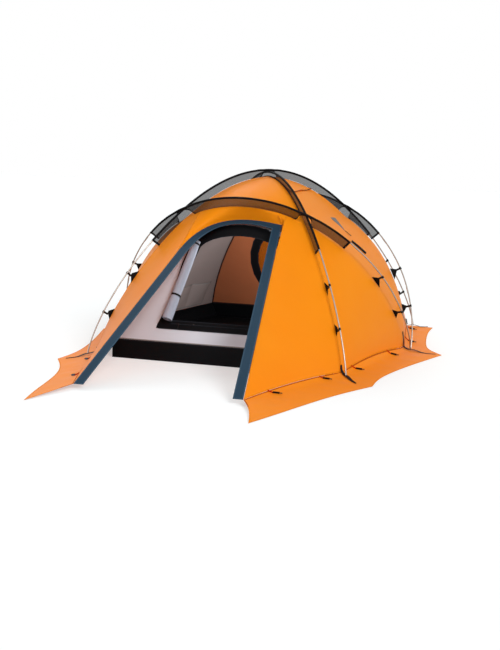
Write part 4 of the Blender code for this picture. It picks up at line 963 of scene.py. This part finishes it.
POCKET_ENDS = (-0.55, 0.80)
POCKET_FOOT, POCKET_TOP = 0.135, 0.33
POCKET_COLUMNS, POCKET_ROWS, POCKET_BAYS = 50, 10, 5
canopy_left = tree_of("inner_canopy_left_cloth")
spots = []
for column in range(POCKET_COLUMNS + 1):
    for row in range(POCKET_ROWS + 1):
        y = POCKET_ENDS[0] + (POCKET_ENDS[1] - POCKET_ENDS[0]) * column / POCKET_COLUMNS
        z = POCKET_FOOT + (POCKET_TOP - POCKET_FOOT) * row / POCKET_ROWS
        hit = canopy_left.ray_cast(Vector((0, y, z)), Vector((-1, 0, 0)))[0]
        sag = abs(math.sin(math.pi * POCKET_BAYS * column / POCKET_COLUMNS)) ** 0.6
        hit.x += 0.004 + 0.026 * sag * math.sin(math.pi * (0.12 + 0.55 * row / POCKET_ROWS))
        hit.z -= 0.008 * sag * row / POCKET_ROWS
        spots.append(hit)
pocket = grid_cloth("inner_pocket_cloth", spots, POCKET_ROWS)
if pocket.data.polygons[0].normal.x < 0:
    pocket.data.flip_normals()
rounder(pocket, 1)
cut = flat_map(pocket)
finish_cloth(pocket, inner_grey, pale_edge, 0.008, SEAM_RISE)
declare(pocket, "tent", cut)

# Black binding tape round the inner doorway and, folded over both sides of the wall, round the
# rear hatch. The hatch is closed with a door of open mosquito mesh.
hatch_mesh = netting("black_mosquito_mesh", 0.86, 0.7)


def lift_off(made, height):
    """Moves a cloth's points out along their normals."""
    for vert, normal in zip(made.data.vertices, [v.normal.copy() for v in made.data.vertices]):
        vert.co += normal * height


def widen(made, distance, start, full):
    """Moves a tape's outer edge outwards: not at the height start, and fully from full upwards."""
    line, ways = hem_lines(made, 0, 0)[0]
    for place, inwards in zip(line, ways):
        vert = min(made.data.vertices, key=lambda one: (one.co - place).length_squared)
        vert.co -= inwards.normalized() * distance * clamp((place.z - start) / (full - start))


for node, facing, body, finish, held_by in (
    ("inner_door_binding", (0, -1, 0.5), "tent", black_cloth, "inner_front_wall_cloth"),
    ("rear_hatch_binding", (0, 1, 0.5), "tent", black_cloth, "inner_rear_wall_cloth"),
    ("rear_hatch_door", (0, 1, 0.5), "rear_hatch", hatch_mesh, "rear_hatch_binding_tape"),
):
    tape = skin_of(node, f"{node}_tape", facing=facing)
    refine(tape)
    cut = flat_map(tape)
    taut = node == "inner_door_binding"  # the slider runs on it
    ruffle(tape, 0.0001 if taut else 0.0008, 0.2, fade=0.02, seed=120)
    if taut:
        lift_off(tape, 0.0007)
        widen(tape, 0.028, 0.45, 0.62)
        widen(tape, 0.009, 0.30, 0.22)
    if node == "rear_hatch_binding":
        other_side = placed(f"{tape.name}_inside", tape.data.copy())
        lift_off(other_side, -0.0042)
        widen(other_side, 0.02, 0.1, 0.2)
        other_side.data.flip_normals()
        join(tape, other_side)
    finish_cloth(tape, finish, black_tape, 0.007, 0.0003 if taut else 0.0006)
    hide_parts(node)
    declare(tape, body, cut)

# The tray floor: black polyester with a thick coating, folded up into low walls all round. It lies
# on the ground, and the inner tent's skin is sewn to its walls.
tray_black = ripstop("black_coated_floor_cloth", "#0B0C0E", "#121315", grid=0.005, crinkle=0.5)
TRAY_CUT = (2.25, 2.35)  # with its walls folded out
tray = skin_of("inner_floor", "inner_floor_tray", fold=None, middle=Vector((0, 0, 0.3)))
refine(tray, 0.06)
flat_map(tray)
level = [vert.co.copy() for vert in tray.data.vertices]
ruffle(tray, 0.003, 0.22, fade=0.03, seed=130)
for vert, before in zip(tray.data.vertices, level):
    vert.co = before.lerp(vert.co, min(1.0, before.z / 0.05))  # it lies flat on the ground
finish_cloth(tray, tray_black, black_tape, 0.008, SEAM_RISE)
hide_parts("inner_floor")
declare(tray, "tent", TRAY_CUT)

# The two cloth doors, rolled up beside their doorways and tied: the porch's orange one and the
# inner tent's pale one. Each is a hemmed cloth wound round itself, so its ends show the spiral.
roll_orange = ripstop("orange_rolled_cloth", "#D87C14", "#E68A1C", glow=0.1, shine=0.1, crinkle=0.7)
roll_grey = ripstop("pale_rolled_cloth", "#A6AEBF", "#B8BECC", roughness=0.6, glow=0.1, grid=0.006,
    crinkle=0.8)
ROLL_PITCH = 0.0038  # from one winding to the next
ROLL_START = 2.1  # radians; where the winding starts about the axis
WINDING_STEPS = 18


def roll_up(name, foot, head, radii, core, finish, tie_shares):
    """A cloth wound about an axis, narrower towards its head, with ties round it."""
    foot, head = Vector(foot), Vector(head)
    axis = (head - foot).normalized()
    across = axis.orthogonal().normalized()
    out = axis.cross(across)
    length = (head - foot).length
    turns = (radii[0] - core) / ROLL_PITCH
    steps, rows = int(turns * WINDING_STEPS), max(10, int(length / 0.04))

    def place(step, row):
        share, along = step / steps, row / rows
        full = radii[0] + (radii[1] - radii[0]) * along
        radius = (core + (radii[0] - core) * share) * full / radii[0]
        pinch = sum(math.exp(-((along - tie) * length / 0.03) ** 2) for tie in tie_shares)
        radius *= 1 - 0.1 * pinch * share
        radius += 0.0011 * share * noise.noise(Vector((share * 2, along * length * 14, 3.7)))
        turn = -share * turns * 2 * math.pi + ROLL_START
        return foot + axis * (along * length) + (across * math.cos(turn) + out * math.sin(turn)) * radius

    made = grid_cloth(name, [place(step, row) for step in range(steps + 1) for row in range(rows + 1)], rows)
    layer = made.data.uv_layers.new(name="Cloth")
    wound = area_of(made) / length
    for loop in made.data.loops:
        step, row = divmod(loop.vertex_index, rows + 1)
        layer.data[loop.index].uv = (step / steps * wound, row / rows * length)
    finish_cloth(made, finish, finish, 0.008, SEAM_RISE)
    declare(made, "tent", (wound, length))
    ties = []
    for tie in tie_shares:
        full = (radii[0] + (radii[1] - radii[0]) * tie) * 0.9 + 0.0016
        ring = [foot + axis * (tie * length)
            + (across * math.cos(k * math.pi / 10) + out * math.sin(k * math.pi / 10)) * full
            for k in range(20)]
        ties.append(ribbon(f"{name}_tie", ring, [axis] * 20, 0.013, 0.0016, black_webbing, closed=True))
    join(*ties)
    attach(ties[0], "tent")
    return made


outer_roll = roll_up("outer_door_rolled", (0.4755, -1.8239, 0.1531), (0.3063, -0.7958, 0.7719),
    (0.0358, 0.0358), 0.010, roll_orange, (0.12, 0.5, 0.88))
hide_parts("outer_door_roll")
inner_roll = roll_up("inner_door_rolled", (-0.405, -0.9586, 0.2742), (-0.304, -0.6709, 0.79),
    (0.0378, 0.0288), 0.008, roll_grey, (0.3, 0.96))
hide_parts("inner_door_roll")

# Zip sliders: cast zinc, painted black and worn a little glossier in patches. Two plates are joined
# by a bridge at one end, and the pull tab hangs on the upper plate's bar.
zinc = new_material("painted_zinc_slider")
place = add(zinc, "TexCoord").outputs["Object"]
worn = add(zinc, "TexNoise", {"Vector": place, "Scale": 420, "Detail": 3})
gloss = add(zinc, "MapRange", {"Value": worn, "To Min": 0.3, "To Max": 0.5})
coat = add(zinc, "BsdfPrincipled", {
    "Base Color": linear("#121214"), "Roughness": gloss, "IOR": 1.5, "Specular IOR Level": 0.3})
add(zinc, "OutputMaterial", {"Surface": coat})
SLIDER_WIDTH, SLIDER_LENGTH, SLIDER_HEIGHT = 0.009, 0.016, 0.006
PLATE_THICKNESS = SLIDER_HEIGHT * 0.3
PULL_WIDTH, PULL_LENGTH, PULL_THICKNESS = 0.006, 0.032, 0.0015


def block(size, place):
    """A small casting's block, with eased edges."""
    bpy.ops.object.select_all(action="DESELECT")
    bpy.ops.mesh.primitive_cube_add(size=1, location=(0, 0, 0))
    made = bpy.context.object
    made.data.transform(Matrix.Translation(place) @ Matrix.Diagonal((*size, 1)))
    apply(made, "BEVEL", width=min(size) * 0.25, segments=2)
    return made


def box_middle(node):
    low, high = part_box(node)
    return (Vector(low) + Vector(high)) / 2


def cast_in_zinc(name, parts, node, along, outward):
    """Makes parts at the origin one casting, and sets it in a node's place, its length along."""
    made = join(*parts)
    made.name = name
    made.data.materials.clear()
    made.data.materials.append(zinc)
    across = along.cross(outward).normalized()
    outward = across.cross(along).normalized()
    turn = Matrix((across, along.normalized(), outward)).transposed().to_4x4()
    made.data.transform(Matrix.Translation(box_middle(node)) @ turn)
    return made


PORCH_LEG = Vector((0.139619, 0.848378, 0.510648))
INNER_SILL = Vector((1, 0, 0))
WALL_OUT = Vector((0, -0.880641, 0.473785))
REAR_UP = Vector((0, -0.395134, 0.918624))
for node, body, along, outward in (
    ("outer_zip_slider", "outer_slider", PORCH_LEG, -PORCH_OUT),
    ("inner_zip_slider", "inner_slider", INNER_SILL, WALL_OUT),
    ("rear_zip_slider", "rear_slider", REAR_UP, Vector((0, 0.918624, 0.395134))),
):
    low = block((SLIDER_WIDTH, SLIDER_LENGTH * 0.9, PLATE_THICKNESS),
        (0, 0, (PLATE_THICKNESS - SLIDER_HEIGHT) / 2))
    top = block((SLIDER_WIDTH * 0.92, SLIDER_LENGTH, PLATE_THICKNESS), (0, 0, PLATE_THICKNESS * 0.35))
    bridge = block((SLIDER_WIDTH * 0.3, SLIDER_LENGTH * 0.3, SLIDER_HEIGHT * 0.5),
        (0, SLIDER_LENGTH * 0.33, -SLIDER_HEIGHT * 0.12))
    bar = rod("bar", [Vector((0, y * SLIDER_LENGTH, z * SLIDER_HEIGHT)) for y, z in (
        (-0.36, 0.1), (-0.3, 0.4), (0, 0.43), (0.3, 0.4), (0.36, 0.1))], 0.0006, zinc, sides=2, steps=3)
    slider = cast_in_zinc(f"{node}_casting", (low, top, bridge, bar), node, along, outward)
    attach(slider, body)
    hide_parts(node)

# Pull tabs: stamped steel painted black, with a slot at the top and an eye at the bottom. Each
# hangs in its slider's bar and swings on it.
for node, body, upwards, outward in (
    ("outer_zip_pull", "outer_pull", Vector((0, 0, 1)), -PORCH_OUT),
    ("inner_zip_pull", "inner_pull", Vector((0, 0.473785, 0.880641)), WALL_OUT),
):
    parts = [block((PULL_WIDTH * 0.24, PULL_LENGTH * 0.9, PULL_THICKNESS), (x * PULL_WIDTH * 0.38, 0, 0))
        for x in (-1, 1)]
    parts += [block((PULL_WIDTH, PULL_LENGTH * long, PULL_THICKNESS), (0, y * PULL_LENGTH, 0))
        for y, long in ((-0.44, 0.1), (-0.2, 0.16), (0.42, 0.08))]
    pull = cast_in_zinc(f"{node}_tab", parts, node, upwards, outward)
    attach(pull, body)
    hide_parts(node)

# Zip coils: black polyester coils sewn on their tapes, drawn as one flat band for each zip. One
# runs behind the left leg of the door tape, one in the inner doorway's sill and one round the
# rear door's arch.
coil_black = stitched("black_polyester_coil", ("#101012", "#17171A"), "#303238", 0.5, stitch=0.0016,
    rows=(0.0014, 0.0038), fine=0.0008)
COIL_WIDTH, COIL_THICKNESS = 0.0052, 0.0006
for name, node, along, outward, before, beyond in (
    ("outer_zip_coil", "outer_zip_slider", PORCH_LEG, -PORCH_OUT, 0.09, 1.27),
    ("inner_zip_coil", "inner_zip_slider", INNER_SILL, WALL_OUT, 0.06, 0.68),
):
    middle = box_middle(node) - outward * SLIDER_HEIGHT * 0.14
    coil = ribbon(name, [middle + along * (k / 24 * (before + beyond) - before) for k in range(25)],
        [along.cross(outward)] * 25, COIL_WIDTH, COIL_THICKNESS, coil_black)
    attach(coil, "tent")
arch = list(zip(*rear_zip))
sill_height = min(point.z for point, _ in arch) + 0.012
first = next(i for i in range(len(arch)) if arch[i][0].z > sill_height >= arch[i - 1][0].z)
arch = [pair for pair in arch[first:] + arch[:first] if pair[0].z > sill_height]
coil = ribbon("rear_zip_coil", *zip(*arch), COIL_WIDTH, COIL_THICKNESS * 3, coil_black)
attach(coil, "rear_door")

# Peg loops: a short red elastic at each hem seam with a flat black hook. They stand on edge on
# the skirt, as their stiff seams leave them.
red_elastic = stitched("red_elastic_tape", ("#C22E10", "#CE3614"), "#8E1E08", 0.6, stitch=0.003,
    rows=(0.002, 0.0045, 0.007), fine=0.0005)
ELASTIC_LENGTH, ELASTIC_WIDTH = 0.034, 0.010
PEG_HOOK_LENGTH, PEG_HOOK_WIDTH = 0.045, 0.014
UP = Vector((0, 0, 1))
for x, y, *turns in (
    (0.612, -1.876, 12, 40), (0.778, -1.352, 12, 40), (0.890, -0.936, 12, 40), (0.996, -0.329, 12, 40),
    (0.996, 0.329, 12, 30), (0.890, 0.936, 20, 40),
):
    for side in (1, -1):
        way, on = (Vector((side * math.cos(math.radians(turn)), math.sin(math.radians(turn)), 0))
            for turn in turns)
        path = [Vector((side * x, y, 0)) + way * ELASTIC_LENGTH * k / 4 for k in range(5)]
        elastic = ribbon("elastic", [lying(p.x, p.y, 0.006) for p in path],
            [way.cross(UP) * 0.5 + UP * 0.87] * 5, ELASTIC_WIDTH, 0.0012, red_elastic)
        path = [path[-1] + on * PEG_HOOK_LENGTH * (k / 5 - 0.1) for k in range(6)]
        flat = on.cross(UP)
        hook = ribbon("plate", [lying(p.x, p.y, 0.0078) for p in path], [flat * 0.5 + UP * 0.87] * 6,
            PEG_HOOK_WIDTH, 0.0026, acetal)
        apply(hook, "BEVEL", width=0.0008, segments=2, limit_method="ANGLE", angle_limit=0.8)
        tip = path[-1]
        base = lying(tip.x, tip.y, 0.006)
        bend = rod("bend", [base] + [tip + on * a + flat * b + UP * base.z for a, b in (
            (0.010, 0), (0.013, 0.006), (0.008, 0.010))], 0.0024, acetal, sides=2, steps=3)
        loop = join(hook, elastic, bend)
        loop.name = f"peg_loop_{'right' if side > 0 else 'left'}_{round(y * 1000)}"
        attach(loop, "tent")

# Guy points: a grey reinforced triangle sewn on each side of the fly, with a flat dark tape that
# ends in a black ladder-lock.
patch_grey = ripstop("grey_reinforced_cloth", "#6E6C6C", "#7C7A79", roughness=0.6, grid=0.006, crinkle=0.4)
PATCH_CORNERS = ((0.4393, 0.128, 0.9378), (0.4498, 0.2365, 0.9322), (0.5805, 0.0284, 0.855))
TAIL_ENDS = (PATCH_CORNERS[2], (0.6273, 0.0251, 0.821))
LADDER_ENDS = ((0.6649, -0.1263, 0.7906), (0.7569, -0.067, 0.7044))
for side, word in ((1, "right"), (-1, "left")):
    side_cloth = tree_of(f"fly_side_{word}_cloth")

    def on_fly(place, lift):
        """The point of the fly's outside over a place, lifted off it."""
        place = Vector((place[0] * side, place[1], place[2]))
        away = (place - HUB).normalized()
        hit, normal, _, _ = side_cloth.ray_cast(place + away * 0.25, -away)
        return hit + normal * lift

    def tape_on_fly(name, ends, steps, lift, width, thickness):
        start, end = map(Vector, ends)
        line = [on_fly(start.lerp(end, k / steps), lift) for k in range(steps + 1)]
        across = (line[-1] - line[0]).normalized().cross((line[0] - HUB).normalized()).normalized()
        return ribbon(name, line, [across] * (steps + 1), width, thickness, black_webbing)

    mesh = bpy.data.meshes.new(f"guy_patch_{word}")
    mesh.from_pydata([on_fly(corner, 0.001) for corner in PATCH_CORNERS], [], [(0, 1, 2)])
    patch = placed(mesh.name, mesh)
    refine(patch, 0.02)
    for vert in patch.data.vertices:
        vert.co = on_fly((vert.co.x * side, vert.co.y, vert.co.z), 0.0016)
    flat_map(patch)
    mesh.update()
    if middle_of([face.normal for face in mesh.polygons]).x * side < 0:
        mesh.flip_normals()
    finish_cloth(patch, patch_grey, patch_grey, 0.005, 0.0004)
    del patch["cloth_area"], patch["cloth_edge"]
    tail = tape_on_fly("tail", TAIL_ENDS, 3, 0.0028, 0.012, 0.0014)
    keeper = tape_on_fly("keeper", LADDER_ENDS, 4, 0.009, 0.020, 0.009)
    apply(keeper, "BEVEL", width=0.002, segments=2, limit_method="ANGLE", angle_limit=0.8)
    join(patch, tail, keeper)
    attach(patch, "tent")
